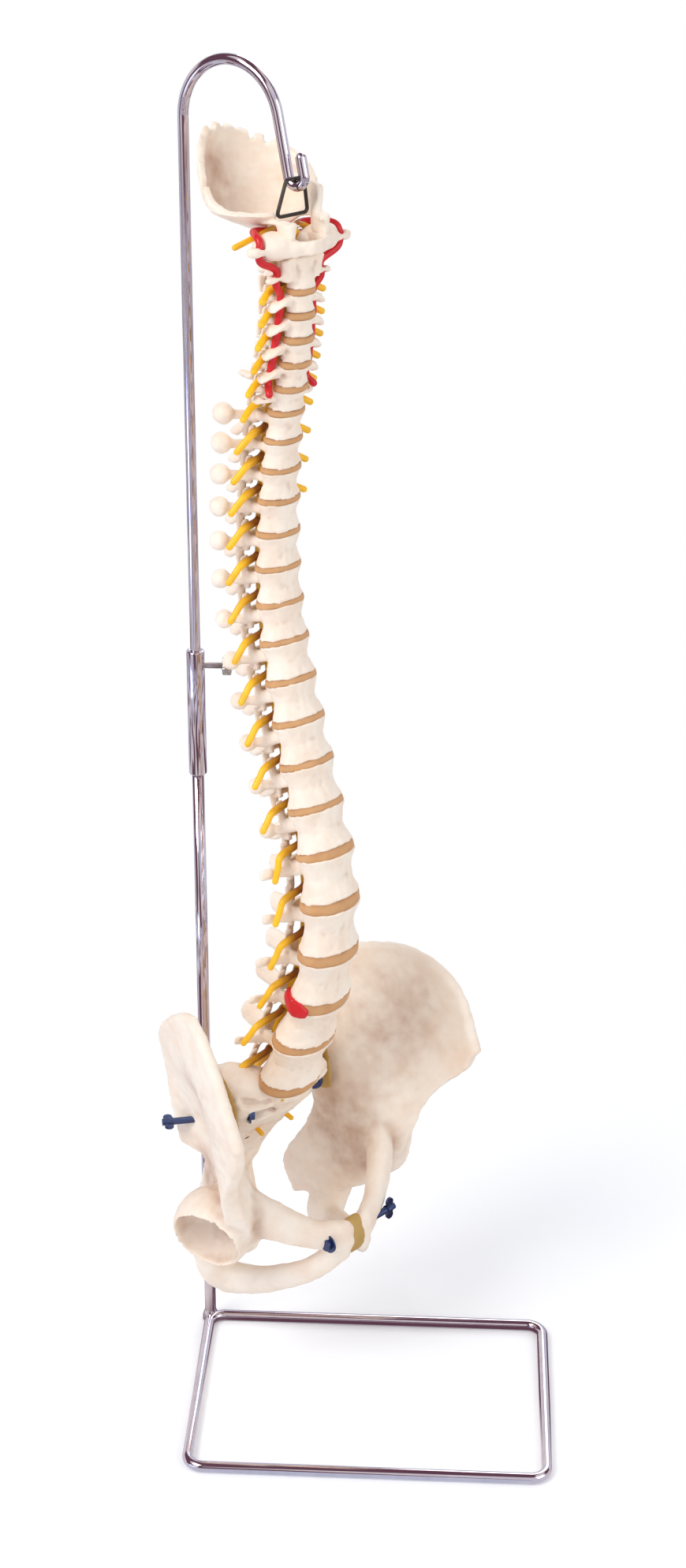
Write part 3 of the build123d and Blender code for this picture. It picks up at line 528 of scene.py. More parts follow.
def shade(mesh, spots, keep):
    """Painted shade, partly an airbrushed tint: a share of the recess darkening on the points plus, round
    each spot, amount times e^-(distance / radius)².
    """
    co = to_column(arrays_of(mesh)[0] / MM)
    hollow = np.empty(len(co), np.float32)
    mesh.attributes["hollow"].data.foreach_get("value", hollow)
    hollow *= keep
    for centre, radius, amount in spots:
        hollow += amount * np.exp(-((co - np.array(centre, float)) ** 2).sum(1) / radius ** 2)
    mesh.attributes["hollow"].data.foreach_set("value", hollow)


# Materials

def srgb(code):
    """Hex sRGB colour to linear RGBA."""
    parts = np.array([int(code[i:i + 2], 16) for i in (1, 3, 5)]) / 255
    linear = np.where(parts <= 0.04045, parts / 12.92, ((parts + 0.055) / 1.055) ** 2.4)
    return (*linear.tolist(), 1.0)


def put(tree, kind, inputs=None, **settings):
    """Adds a node with its settings, and sets or links its inputs."""
    node = tree.nodes.new(kind)
    for key, value in settings.items():
        setattr(node, key, value)
    for socket, value in (inputs or {}).items():
        if isinstance(value, bpy.types.NodeSocket):
            tree.links.new(value, node.inputs[socket])
        else:
            node.inputs[socket].default_value = value
    return node


def blank(name):
    """New material and its emptied tree."""
    material = bpy.data.materials.new(name)
    material.use_nodes = True
    material.node_tree.nodes.clear()
    return material, material.node_tree


def surface(tree, inputs):
    """The tree's shader with these sockets set or linked, and its output."""
    shader = put(tree, "ShaderNodeBsdfPrincipled", inputs)
    put(tree, "ShaderNodeOutputMaterial", {"Surface": shader.outputs["BSDF"]})


def noise(tree, size, detail, roughness=0.5):
    """Share from a noise on Object coordinates, which are in metres, with cells of so many mm."""
    place = put(tree, "ShaderNodeTexCoord").outputs["Object"]
    return put(tree, "ShaderNodeTexNoise", {"Vector": place, "Scale": 1000.0 / size, "Detail": detail,
                                            "Roughness": roughness}).outputs["Fac"]


def ranged(tree, value, start, end, to_start=0.0, to_end=1.0):
    """A value's stretch from start to end carried over to another, and held at its ends."""
    return put(tree, "ShaderNodeMapRange", {"Value": value, "From Min": start, "From Max": end,
                                            "To Min": to_start, "To Max": to_end}).outputs[0]


def marked(tree, name):
    """Number that the mesh keeps on its points under this name."""
    return put(tree, "ShaderNodeAttribute", attribute_name=name).outputs["Fac"]


def bumped(tree, height, strength, distance):
    """Normal bent by a height that spans so many mm."""
    return put(tree, "ShaderNodeBump", {"Strength": strength, "Distance": distance * MM,
                                        "Height": height}).outputs[0]


def blended(tree, share, first, second):
    """Colour socket that runs from the first colour to the second by a share."""
    colours = {k: value if isinstance(value, bpy.types.NodeSocket) else tuple(value)
               for k, value in ((6, first), (7, second))}
    return put(tree, "ShaderNodeMix", {0: share, **colours}, data_type="RGBA").outputs[2]


def bone_material(name, looks):
    # Cast PVC bone, dipped in a thin brown wash that stays in the pits and is wiped off the high places; the
    # darkening in the pits is also painted shade
    material, tree = blank(name)
    cloud = noise(tree, 26, 3.0, 0.6)
    speck = noise(tree, 2.2, 2.0, 0.6)
    wash = put(tree, "ShaderNodeMath", {0: ranged(tree, marked(tree, "hollow"), 0.35, 3.2),
                                        1: ranged(tree, cloud, 0.35, 0.7, 0.2, 0.75)}, operation="MULTIPLY")
    base = blended(tree, ranged(tree, cloud, 0.4, 0.68), looks.bone, looks.bone_warm)
    surface(tree, {"Base Color": blended(tree, wash.outputs[0], base, looks.bone_wash_and_shade),
                   "Roughness": ranged(tree, speck, 0.0, 1.0, 0.42, 0.62),
                   "Normal": bumped(tree, speck, 0.35, 0.3), "IOR": 1.5})
    return material


def soft_material(name, colour, deep, mark, roughness, reach=1.0):
    # Flexible vinyl: even and slightly waxy, darker by painted shade where 'mark' says, with a fine skin from
    # the mould
    material, tree = blank(name)
    skin = noise(tree, 1.6, 2.0)
    total = put(tree, "ShaderNodeMath", {0: ranged(tree, marked(tree, mark), 0.0, reach),
                                         1: ranged(tree, noise(tree, 9, 3.0), 0.3, 0.75, -0.12, 0.25)},
                operation="ADD", use_clamp=True)
    surface(tree, {"Base Color": blended(tree, total.outputs[0], colour, deep),
                   "Roughness": ranged(tree, skin, 0.0, 1.0, roughness - 0.06, roughness + 0.08),
                   "Normal": bumped(tree, skin, 0.25, 0.2), "IOR": 1.5})
    return material


def metal_material(name, colour, roughness, spread, grain):
    # Plated or blackened steel: clean, with faint rubbing marks that change the gloss; the same patches tint
    # the colour toward plum, a painted reflection
    material, tree = blank(name)
    rub_and_reflection = noise(tree, grain, 4.0, 0.65)
    tint = ranged(tree, rub_and_reflection, 0.3, 0.8, 0.0, 0.18)
    surface(tree, {"Base Color": blended(tree, tint, srgb(colour), srgb("#5c5660")), "Metallic": 1.0,
                   "Roughness": ranged(tree, rub_and_reflection, 0.3, 0.8, roughness, roughness + spread)})
    return material


def look(name, build, *values):
    """The material of that name, built the first time it is asked for."""
    return bpy.data.materials.get(name) or build(name, *values)


def bone_look():
    return look("Cast PVC bone", bone_material, bpy.context.scene.spine_looks)


def disc_look():
    looks = bpy.context.scene.spine_looks
    return look("Flexible PVC disc", soft_material, looks.disc, looks.disc_shade, "shade", 0.42)


def cartilage_look():
    looks = bpy.context.scene.spine_looks
    # Darker in the recesses, as painted shade
    return look("Dark PVC cartilage", soft_material, looks.cartilage, looks.disc_shade, "hollow", 0.45, 3.0)


def nerve_look():
    looks = bpy.context.scene.spine_looks
    return look("Yellow vinyl nerve", soft_material, looks.nerve, looks.nerve_root, "root", 0.34)


def vessel_look():
    looks = bpy.context.scene.spine_looks
    return look("Red vinyl vessel", soft_material, looks.vessel, looks.vessel_deep, "root", 0.3)


def chrome_look():
    # Pinkish colour painted into the chrome as a reflection of plum surroundings
    return look("Chromed steel rod", metal_material, "#dbd0d8", 0.05, 0.1, 14)


def nickel_look():
    return look("Nickel-plated screw", metal_material, "#cfcac2", 0.16, 0.12, 5)


def wire_look():
    return look("Blackened steel wire", metal_material, "#4a443f", 0.3, 0.2, 4)


def bolt_look():
    return look("Blued steel bolt", metal_material, "#53618a", 0.25, 0.2, 4)


def dress(obj, material, body, slot, *nodes):
    """Gives a finished piece its material and body, and hides the CAD nodes that it stands for. Its record
    slot is not used.
    """
    obj.data.materials.clear()
    obj.data.materials.append(material)
    if body:
        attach(obj, body)
    if nodes:
        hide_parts(*nodes)
    return obj


# Settings

def length_setting(name, description, default):
    """Setting in mm."""
    return bpy.props.FloatProperty(name=name, description=description + ", in mm", default=default)


def colour_setting(name, description, code):
    """Setting for a colour."""
    return bpy.props.FloatVectorProperty(name=name, description=description, subtype="COLOR", size=4, min=0,
                                         max=1, default=srgb(code))


class SpineSizes(bpy.types.PropertyGroup):
    """Sizes of the model that a user would change, in mm."""
    base_rod: length_setting("Base rod", "Diameter of the base rod", 8.0)
    lower_rod: length_setting("Lower rod", "Diameter of the lower upright", 8.5)
    upper_rod: length_setting("Upper rod", "Diameter of the upper rod", UPPER_ROD)
    sleeve: length_setting("Sleeve", "Diameter of the sleeve", 12.5)
    wire: length_setting("Wire", "Diameter of the loop's wire", WIRE)
    nerve: length_setting("Nerve", "Diameter of a nerve", 5.0)
    artery: length_setting("Artery", "Diameter of an artery", 4.8)
    cord: length_setting("Cord", "Diameter of the spinal cord", 7.0)
    disc_bulge: length_setting("Disc bulge", "How far a disc's waist stands out", 0.1)
    small_grain: length_setting("Bone grid", "Grid of a vertebra's surface", 1.05)
    large_grain: length_setting("Pelvis grid", "Grid of the pelvis' surface", 1.5)


class SpineLooks(bpy.types.PropertyGroup):
    """Colours of the model."""
    bone: colour_setting("Bone", "Cast bone", "#f8ead8")
    bone_warm: colour_setting("Warm bone", "Patches where the wash is thin", "#f2dcc6")
    # Brown of the wash in the hollows, which also stands as painted shade there
    bone_wash_and_shade: colour_setting("Wash", "Brown wash in the hollows", "#ad8164")
    disc: colour_setting("Disc", "Flexible discs", "#d39f6a")
    # Darker brown painted as shade at the discs' faces against the bones and in the linings' recesses
    disc_shade: colour_setting("Disc rim", "Darker edge of the discs", "#a06a3c")
    cartilage: colour_setting("Cartilage", "Linings of the pelvis", "#bf9a55")
    nerve: colour_setting("Nerve", "Nerves and cord", "#ffc41a")
    # Orange-brown painted as shade where a nerve leaves the canal, and along the cord
    nerve_root: colour_setting("Nerve root", "Where a nerve leaves the cord", "#9c5a18")
    vessel: colour_setting("Artery", "Arteries and the torn disc", "#d3161f")
    vessel_deep: colour_setting("Deep red", "Shaded red", "#a01218")


# Forms that are shown but aren't in the solids, in column coordinates: forward, left, up

# The skull plate's left wall, which runs forward to the tab before the hole
SKULL_WALL = (
    ((-50, 33, 889), (-36, 30, 883), (-22, 26, 879), (-9, 22, 880), (3, 17, 880)),
    ((-48, 30, 873), (-34, 27, 871), (-20, 24, 870), (-8, 20, 872), (5, 16, 874)),
    ((-46, 22, 859), (-31, 21, 860), (-17, 20, 862), (-6, 17, 864), (6, 13, 866)),
)
SKULL_WALL_THICKNESS = 4.6
# Painted shade in the back of the skull plate's bowl, on the patient's right
SKULL_SHADE_SPOTS = (((-62, -14, 880), 17, 5.0), ((-50, -20, 868), 15, 3.0))

# The left hip bone's plate, rows from the crest down and columns from the back to the front
HIP_PLATE = (
    ((-70, 58, 264), (-54, 74, 300), (-24, 92, 313), (14, 104, 317), (48, 112, 297), (68, 113, 254)),
    ((-66, 58, 238), (-50, 66, 266), (-20, 90, 284), (16, 106, 288), (46, 111, 268), (63, 110, 238)),
    ((-58, 60, 218), (-42, 60, 238), (-18, 76, 256), (12, 95, 256), (34, 103, 242), (47, 103, 221)),
    ((-54, 60, 204), (-38, 58, 216), (-18, 62, 224), (4, 76, 224), (22, 90, 214), (33, 97, 201)),
    ((-38, 56, 196), (-30, 56, 201), (-14, 60, 203), (3, 68, 200), (18, 79, 192), (27, 90, 181)),
    ((-46, 52, 170), (-34, 55, 173), (-16, 59, 174), (0, 62, 172), (13, 70, 168), (21, 82, 164)),
    ((-64, 45, 135), (-46, 51, 141), (-26, 57, 146), (-8, 61, 146), (8, 65, 146), (20, 70, 148)),
    ((-56, 50, 106), (-47, 54, 111), (-36, 58, 116), (-24, 61, 120), (-11, 63, 124), (1, 65, 130)),
)
HIP_THICKNESS = (
    (8, 8, 8, 8, 9, 10),
    (12, 8, 5, 5, 6, 9),
    (18, 13, 7, 6, 8, 10),
    (18, 17, 13, 12, 12, 13),
    (12, 16, 18, 20, 20, 15),
    (9, 13, 18, 22, 22, 17),
    (6, 11, 17, 22, 20, 15),
    (14, 18, 20, 20, 14, 9),
)
RIGHT_BLADE_SHIFT = ((-2, 4, -2), (-8, 0, -8), (-14, -5, 4), (-19, -5, 19), (-22, -2, 26), (-18, 0, 20))
SOCKET_SHELL = ((-2, 84, 163), 29.5)
SOCKET_HOLLOW = ((2, 96, 159), 25.0)
# Painted shade, partly an airbrushed tint, in the blade's hollow, on its inner wall and in the socket
HIP_SHADE_SPOTS = (((2, 92, 262), 34, 2.6), ((-14, 56, 186), 32, 4.0), ((0, 76, 164), 23, 7.0))


def hip_solids(sign):
    """One hip bone in overlapping parts: the plate with its crest, the socket's shell, the seat bone and the
    bars round the large opening. The right blade (-1) stands higher, as the pelvis hangs a little askew."""
    blade = np.array(HIP_PLATE, float)
    # The right blade's shift grows from nothing at 185 mm up to its whole at 295 mm
    if sign < 0:
        share = np.clip((blade[..., 2:] - 185) / 110, 0, 1)
        blade = blade + share * np.array(RIGHT_BLADE_SHIFT, float)
    crest = limb(blade[0], np.full((blade.shape[1], 2), (7.5, 9.0)), (0, 1, 0))
    seat = limb([(-14, 70, 152), (-26, 66, 124), (-30, 56, 100), (-26, 50, 88)],
                [(26, 30), (24, 28), (28, 30), (20, 22)], (1, 0, 0))
    upper_bar = limb([(4, 68, 180), (24, 58, 170), (43, 33, 154), (54, 11, 147)],
                     [(26, 34), (20, 32), (16, 23), (14, 26)], UP)
    joint_face = limb([(53, 5, 149), (53, 8, 140), (50, 14, 130)], [(13, 13), (15, 15), (12, 13)], (1, 0, 0))
    lower_bar = limb([(51, 11, 134), (37, 26, 117), (8, 43, 102), (-18, 52, 95)],
                     [(13, 20), (12, 19), (14, 22), (18, 26)], UP)
    return [plate(blade, HIP_THICKNESS), crest, ball(*SOCKET_SHELL), seat, upper_bar, joint_face, lower_bar]


# Pieces

class SPINE_OT_bones(bpy.types.Operator):
    """Cast surfaces of the vertebrae, the sacrum, the hip bones and the skull plate"""
    bl_idname = "spine.bones"
    bl_label = "Bones"

    def side_mass(self, sign):
        """Thick side of the first neck bone's ring."""
        return limb([(-8, sign * 17, ATLAS_Z - 1), (2, sign * 18, ATLAS_Z + 1), (11, sign * 12, ATLAS_Z)],
                    [(13, 12), (15, 14), (9, 9)], UP)

    def neck_wing(self, row, sign):
        """Broad side process of a neck bone, from the body's edge out and down."""
        x, edge = -row["depth"] / 2 + 4.0, row["width"] / 2
        points = [(x + 3, sign * (edge - 1), 4.2), (x + 1, sign * (edge + 4.6), 1.0),
                  (x - 1, sign * (edge + 11), -3.4)]
        return limb(on_level(points, row), [(7, 4.5), (12, 4.5), (10, 3.8)], UP)

    def chest_knob(self, row, share, sign):
        """Rounded end of a chest bone's side process, nearer the middle and smaller down the column."""
        x = canal_x(row) - 12.5 + 2.0 * share
        side = row["half_width"] + 20.5 - 9.0 * share
        return ball(on_level((x, sign * side, 2.6), row), 7.0 - 1.2 * share)

    def extras(self, index):
        """What a bone carries on both sides beyond its solid, by its place in the column."""
        if index < 0:
            return [placed(self.side_mass(sign)) for sign in SIDES.values()]
        row = LEVELS[index]
        if index in NECK_WINGS:
            return [placed(self.neck_wing(row, sign)) for sign in SIDES.values()]
        if index in CHEST:
            share = (index - CHEST[0]) / (len(CHEST) - 1)
            return [placed(self.chest_knob(row, share, sign)) for sign in SIDES.values()]
        return []

    def column(self, voxel):
        """The 24 separate bones, each with its own relief."""
        for k, name in enumerate(["c1", *NAMES]):
            shape = flared(LEVELS[k - 1]) if k > 0 else widened_ring
            obj = cast_piece("bone_" + name, [node_solid(name), *self.extras(k - 1)], voxel, 5, (0.28, 0.14),
                             11 + 3 * k, shape=shape)
            dress(obj, bone_look(), name, "bone", name)

    def pelvis(self, voxel):
        """Sacrum with its broad wings, and both hip bones."""
        wings = [placed(limb([(-20, sign * 12, 238), (-32, sign * 32, 246), (-38, sign * 43, 246)],
                             [(30, 26), (30, 30), (24, 34)], UP)) for sign in SIDES.values()]
        obj = cast_piece("cast_sacrum", [node_solid("sacrum"), *wings], voxel, 7, (0.4, 0.2), 201)
        dress(obj, bone_look(), "pelvis", "bone", "sacrum")
        for side, sign in SIDES.items():
            name = side + "_hip_bone"
            solids = [placed(mirrored(solid, sign)) for solid in hip_solids(sign)]
            obj = cast_piece("cast_" + name, solids, voxel, 9, (0.25, 0.1), 210 + 7 * sign,
                             placed(mirrored(ball(*SOCKET_HOLLOW), sign)))
            # Painted shade in the blade's hollow, on its inner wall and in the socket
            shade_spots = [((x, sign * y, z), radius, amount) for (x, y, z), radius, amount in HIP_SHADE_SPOTS]
            shade(obj.data, shade_spots, 0.35)
            dress(obj, bone_look(), "pelvis", "bone", name)

    def execute(self, context):
        sizes = context.scene.spine_sizes
        coarse = 1.0
        self.column(sizes.small_grain * coarse)
        self.pelvis(sizes.large_grain * coarse)
        wall = placed(plate(SKULL_WALL, np.full((3, 5), SKULL_WALL_THICKNESS)))
        obj = cast_piece("cast_occipital_plate", [node_solid("occipital_plate"), wall],
                         sizes.small_grain * coarse, 5, (0.25, 0.12), 301, shape=tipped_bowl)
        # Painted shade in the bowl of the skull plate
        shade(obj.data, SKULL_SHADE_SPOTS, 0.3)
        dress(obj, bone_look(), "hanger", "bone", "occipital_plate")
        return {"FINISHED"}


class SPINE_OT_discs(bpy.types.Operator):
    """Flexible discs between the bones, the torn one with its red bulge, and the linings of the pelvis"""
    bl_idname = "spine.discs"
    bl_label = "Discs"

    def disc(self, index, bulge):
        """Oval rings from the lower bone's face to the upper's: half sizes plus bulge · (1 - v²), with
        rounded rims, v from -1 to 1. The ends shrink to the middle."""
        row = LEVELS[index]
        last = index + 1 == len(LEVELS)
        under = row if last else LEVELS[index + 1]
        lower = "s1" if last else under["name"]
        s, z, lean_low, lean_high = disc_place(index)
        side = np.linspace(-1, 1, 15)
        rim = 1 - 0.045 * np.abs(side) ** 6
        inner = np.array([0.05, 0.35, 0.65, 0.86, 0.94])
        v = np.pad(side, len(inner), constant_values=(-1.02, 1.02))
        scale = np.concatenate((inner * rim[0], rim, inner[::-1] * rim[-1]))[:, None]
        out = np.pad(1 - side ** 2, len(inner))[:, None] * bulge
        a = np.linspace(0, 2 * math.pi, 96, endpoint=False)
        flat = 1 - 0.1 * np.clip(-np.cos(a), 0, 1) ** 6
        share = ((v + 1) / 2)[:, None]
        half_depth = (under["depth"] * (1 - share) + row["depth"] * share) / 2
        half_width = (under["width"] * (1 - share) + row["width"] * share) / 2
        x = (half_depth * scale + out) * np.cos(a) * flat
        y = (half_width * scale * BODY_WIDENING + out) * np.sin(a)
        level = np.full_like(x, row["disc"] / 2)
        low = leaned(np.stack((x, y, -level), -1), s, z, lean_low)
        high = leaned(np.stack((x, y, level), -1), s, z, lean_high)
        rings = low * (1 - share[..., None]) + high * share[..., None]
        obj = grid_piece("soft_disc_%s_%s" % (row["name"], lower), to_row(rings))
        # Painted shade toward the faces where the disc meets the bones
        attribute(obj.data, "shade", np.repeat(np.abs(v) ** 3, len(a)))
        dress(obj, disc_look(), None, "disc", "disc_%s_%s" % (row["name"], lower))
        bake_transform(obj)

    def torn(self):
        """Red bulge on the right of the disc under the third loin bone: a flat lobe along the disc's rim."""
        index = NAMES.index("l3")
        row = LEVELS[index]
        s, z, lean_low, lean_high = disc_place(index)
        a = np.radians(np.linspace(-136, -58, 6))
        half_depth, half_width = row["depth"] / 2 + 1, row["width"] / 2 * BODY_WIDENING + 1
        rim = np.stack((half_depth * np.cos(a), half_width * np.sin(a), np.linspace(1.5, -2.0, 6)), -1)
        ovals = [(3.5, 5.0), (5.5, 10.0), (6.0, 12.5), (6.0, 13.0), (5.5, 12.5), (4.0, 8.0)]
        solid = placed(limb(leaned(rim, s, z, (lean_low + lean_high) / 2), ovals, UP))
        obj = cast_piece("torn_disc_lobe", [solid], 0.8, 3, (0.3, 0.15), 431)
        attribute(obj.data, "root", np.zeros(len(obj.data.vertices)))
        dress(obj, vessel_look(), None, "vessel", "disc_l3_l4")
        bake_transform(obj)

    def execute(self, context):
        for index in range(len(LEVELS)):
            self.disc(index, context.scene.spine_sizes.disc_bulge)
        self.torn()
        linings = [limb([(-22, sign * 46.5, 214), (-32, sign * 47.5, 238), (-42, sign * 48.5, 262)],
                        [(16, 3.4), (30, 3.4), (18, 3.4)], (0, 1, 0)) for sign in SIDES.values()]
        front = limb([(53, -3.4, 143), (53, 3.4, 143)], [(15, 30), (15, 30)], UP)
        solids = [placed(solid) for solid in (*linings, front)]
        obj = cast_piece("lining_of_pelvis", solids, 1.0, 3, (0.2, 0.1), 401)
        dress(obj, cartilage_look(), "pelvis", "cartilage", "pelvic_cartilages")
        return {"FINISHED"}


# A nerve's last points: ahead of its root, out from the body's edge and down, up to each place in the column
NERVE_TIPS = (
    (6, ((0.7, 2.5, 0.8), (2.0, 8.5, 3.0), (5.0, 15.5, 6.5))),
    (17, ((0.0, 0.5, 1.8), (-1.0, 6.0, 7.0), (-2.0, 10.5, 12.0))),
    (23, ((0.0, 0.5, 2.2), (-0.7, 4.5, 10.0), (-1.5, 8.0, 18.0))),
)
# The left nerves of the chest's first bones stand out like the neck's
NECK_TIPS_ON_LEFT = 9

# Short nerves on the left, by their ends and body: out of the sacrum's face, and under the skull
SHORT_NERVES = (
    ((-40, 12, 228), (-28, 15, 208), "pelvis"),
    ((-52, 12, 207), (-25, 15, 199), "pelvis"),
    ((-26, 13, 240), (-3, 15, 238), "pelvis"),
    ((-10, 10, 857), (-16, 37, 848), "c1"),
)
SHORT_NERVE_RADIUS = 1.9
CORD_SHADE = 0.2
CORD_STEPS = 12


class SPINE_OT_nerves(bpy.types.Operator):
    """Spinal cord, in one length to each bone, with a pair of nerves at every disc"""
    bl_idname = "spine.nerves"
    bl_label = "Cord and nerves"

    def cord(self, radius):
        """Cord through the middle of every canal, cut halfway between the bones."""
        places = [on_level((canal_x(row), 0, 0), row) for row in LEVELS]
        s, z, lean_low, lean_high = disc_place(len(LEVELS) - 1)
        last = leaned((canal_x(LEVELS[-1]), 0, 0), s, z, (lean_low + lean_high) / 2)
        path = smooth_path([(-2.0, 0, CORD_TOP), *places, last, (-45.0, 0, 242.0), (-53.0, 0, 224.0)],
                           CORD_STEPS)
        half = CORD_STEPS // 2
        for k, name in enumerate(NAMES):
            middle = CORD_STEPS * (k + 1)
            start = 0 if k == 0 else middle - half
            obj = strand("cord_" + name, path[start:middle + half + 1], radius, (*LEFT, 0), 16, CORD_SHADE)
            dress(obj, nerve_look(), name, "nerve", "spinal_cord")
        tail = path[CORD_STEPS * len(LEVELS) + half:]
        obj = strand("cord_tail", tail, radius * 0.84, (*LEFT, 0), 16, CORD_SHADE)
        dress(obj, nerve_look(), "pelvis", "nerve", "spinal_cord")

    def pair(self, index, radius):
        """Nerves of one disc: out of the canal, over the arch's root and down beside the body below."""
        row = LEVELS[index]
        s, z, lean_low, lean_high = disc_place(index)
        back = -row["depth"] / 2 - 4.5
        out = row["width"] / 2 * BODY_WIDENING
        rise = row["disc"] * 0.35
        for side, sign in SIDES.items():
            tips = next(tips for end, tips in NERVE_TIPS if index < end)
            if sign > 0 and index < NECK_TIPS_ON_LEFT:
                tips = NERVE_TIPS[0][1]
            points = [(canal_x(row), sign * 2.5, rise + 1.5),
                      (back, sign * row["half_width"] * 0.8, rise + 0.8),
                      *((back + ahead, sign * (out + reach), rise - drop) for ahead, reach, drop in tips)]
            path = smooth_path(leaned(points, s, z, (lean_low + lean_high) / 2), 9)
            along = np.linspace(0, 1, len(path))
            swollen = radius * (1 + 0.16 * np.exp(-((along - 0.42) / 0.1) ** 2) - 0.12 * along)
            share = np.clip(np.arange(-END_RINGS, len(path) + END_RINGS) / (len(path) - 1), 0, 1)
            # Painted shade where the nerve leaves the canal between the bones, fading out along it
            dark = np.clip(1 - (share - 0.3) / 0.3, 0, 1) ** 1.5
            obj = strand("nerve_%s_%s" % (side, row["name"]), path, swollen, (*FORWARD, 0), 18, dark)
            dress(obj, nerve_look(), row["name"], "nerve", "spinal_cord")

    def execute(self, context):
        sizes = context.scene.spine_sizes
        self.cord(sizes.cord / 2)
        for index in range(len(LEVELS)):
            self.pair(index, sizes.nerve / 2)
        points = 12
        # Painted shade at the start of each short nerve, where it leaves the bone
        fading = np.clip(np.linspace(1.2, -1, points + 2 * END_RINGS), 0, 1)
        for k, (start, end, body) in enumerate(SHORT_NERVES):
            for side, sign in SIDES.items():
                path = np.linspace(start, end, points) * (1, sign, 1)
                obj = strand("short_nerve_%s_%d" % (side, k + 1), path, SHORT_NERVE_RADIUS, (*LEFT, 0), 16,
                             fading)
                dress(obj, nerve_look(), body, "nerve", "spinal_cord")
        return {"FINISHED"}


class SPINE_OT_arteries(bpy.types.Operator):
    """Pair of red arteries through the wings of the neck and over its top ring"""
    bl_idname = "spine.arteries"
    bl_label = "Arteries"

    def route(self, diameter):
        """Points of the left artery from the sixth neck bone up, and the bone that each belongs to."""
        room = 1.6
        points, owners = [], []
        for row in reversed(LEVELS[1:5]):
            hole = row["width"] / 2 + (diameter + room) / 2 + 1.6
            for up in (-row["height"] / 2, row["height"] / 2):
                points.append(on_level((-row["depth"] / 2 + 4.0, hole, up), row))
                owners.append(row["name"])
        points.insert(0, points[0] + (4, 3, -6))
        owners.insert(0, "c6")
        ring = ATLAS_Z + 3.25
        points += [on_level((-2, 19.5, up), LEVELS[0]) for up in (-6, 3)]
        points += [(AXIS_S - 1, 33.7, ATLAS_Z - 5.5), (AXIS_S - 1, 33.7, ring + 2),
                   (AXIS_S - 7, 31.0, ring + 5.5), (AXIS_S - 19, 21.0, ring + 5), (-12.0, 7.5, SKULL_Z - 1.5)]
        return np.array(points), owners + ["c2"] * 2 + ["c1"] * 5

    def execute(self, context):
        diameter = context.scene.spine_sizes.artery
        points, owners = self.route(diameter)
        changes = [k for k in range(1, len(owners)) if owners[k] != owners[k - 1]]
        for side, sign in SIDES.items():
            path = smooth_path(points * (1, sign, 1), 10)
            bounds = [0, *(10 * k - 5 for k in changes), len(path) - 1]
            for name, start, stop in zip(("c6", "c5", "c4", "c3", "c2", "c1"), bounds, bounds[1:]):
                obj = strand("artery_%s_%s" % (side, name), path[start:stop + 1], diameter / 2,
                             (*FORWARD, 0.2), 18, 0)
                dress(obj, vessel_look(), name, "vessel", "vertebral_arteries")
        return {"FINISHED"}


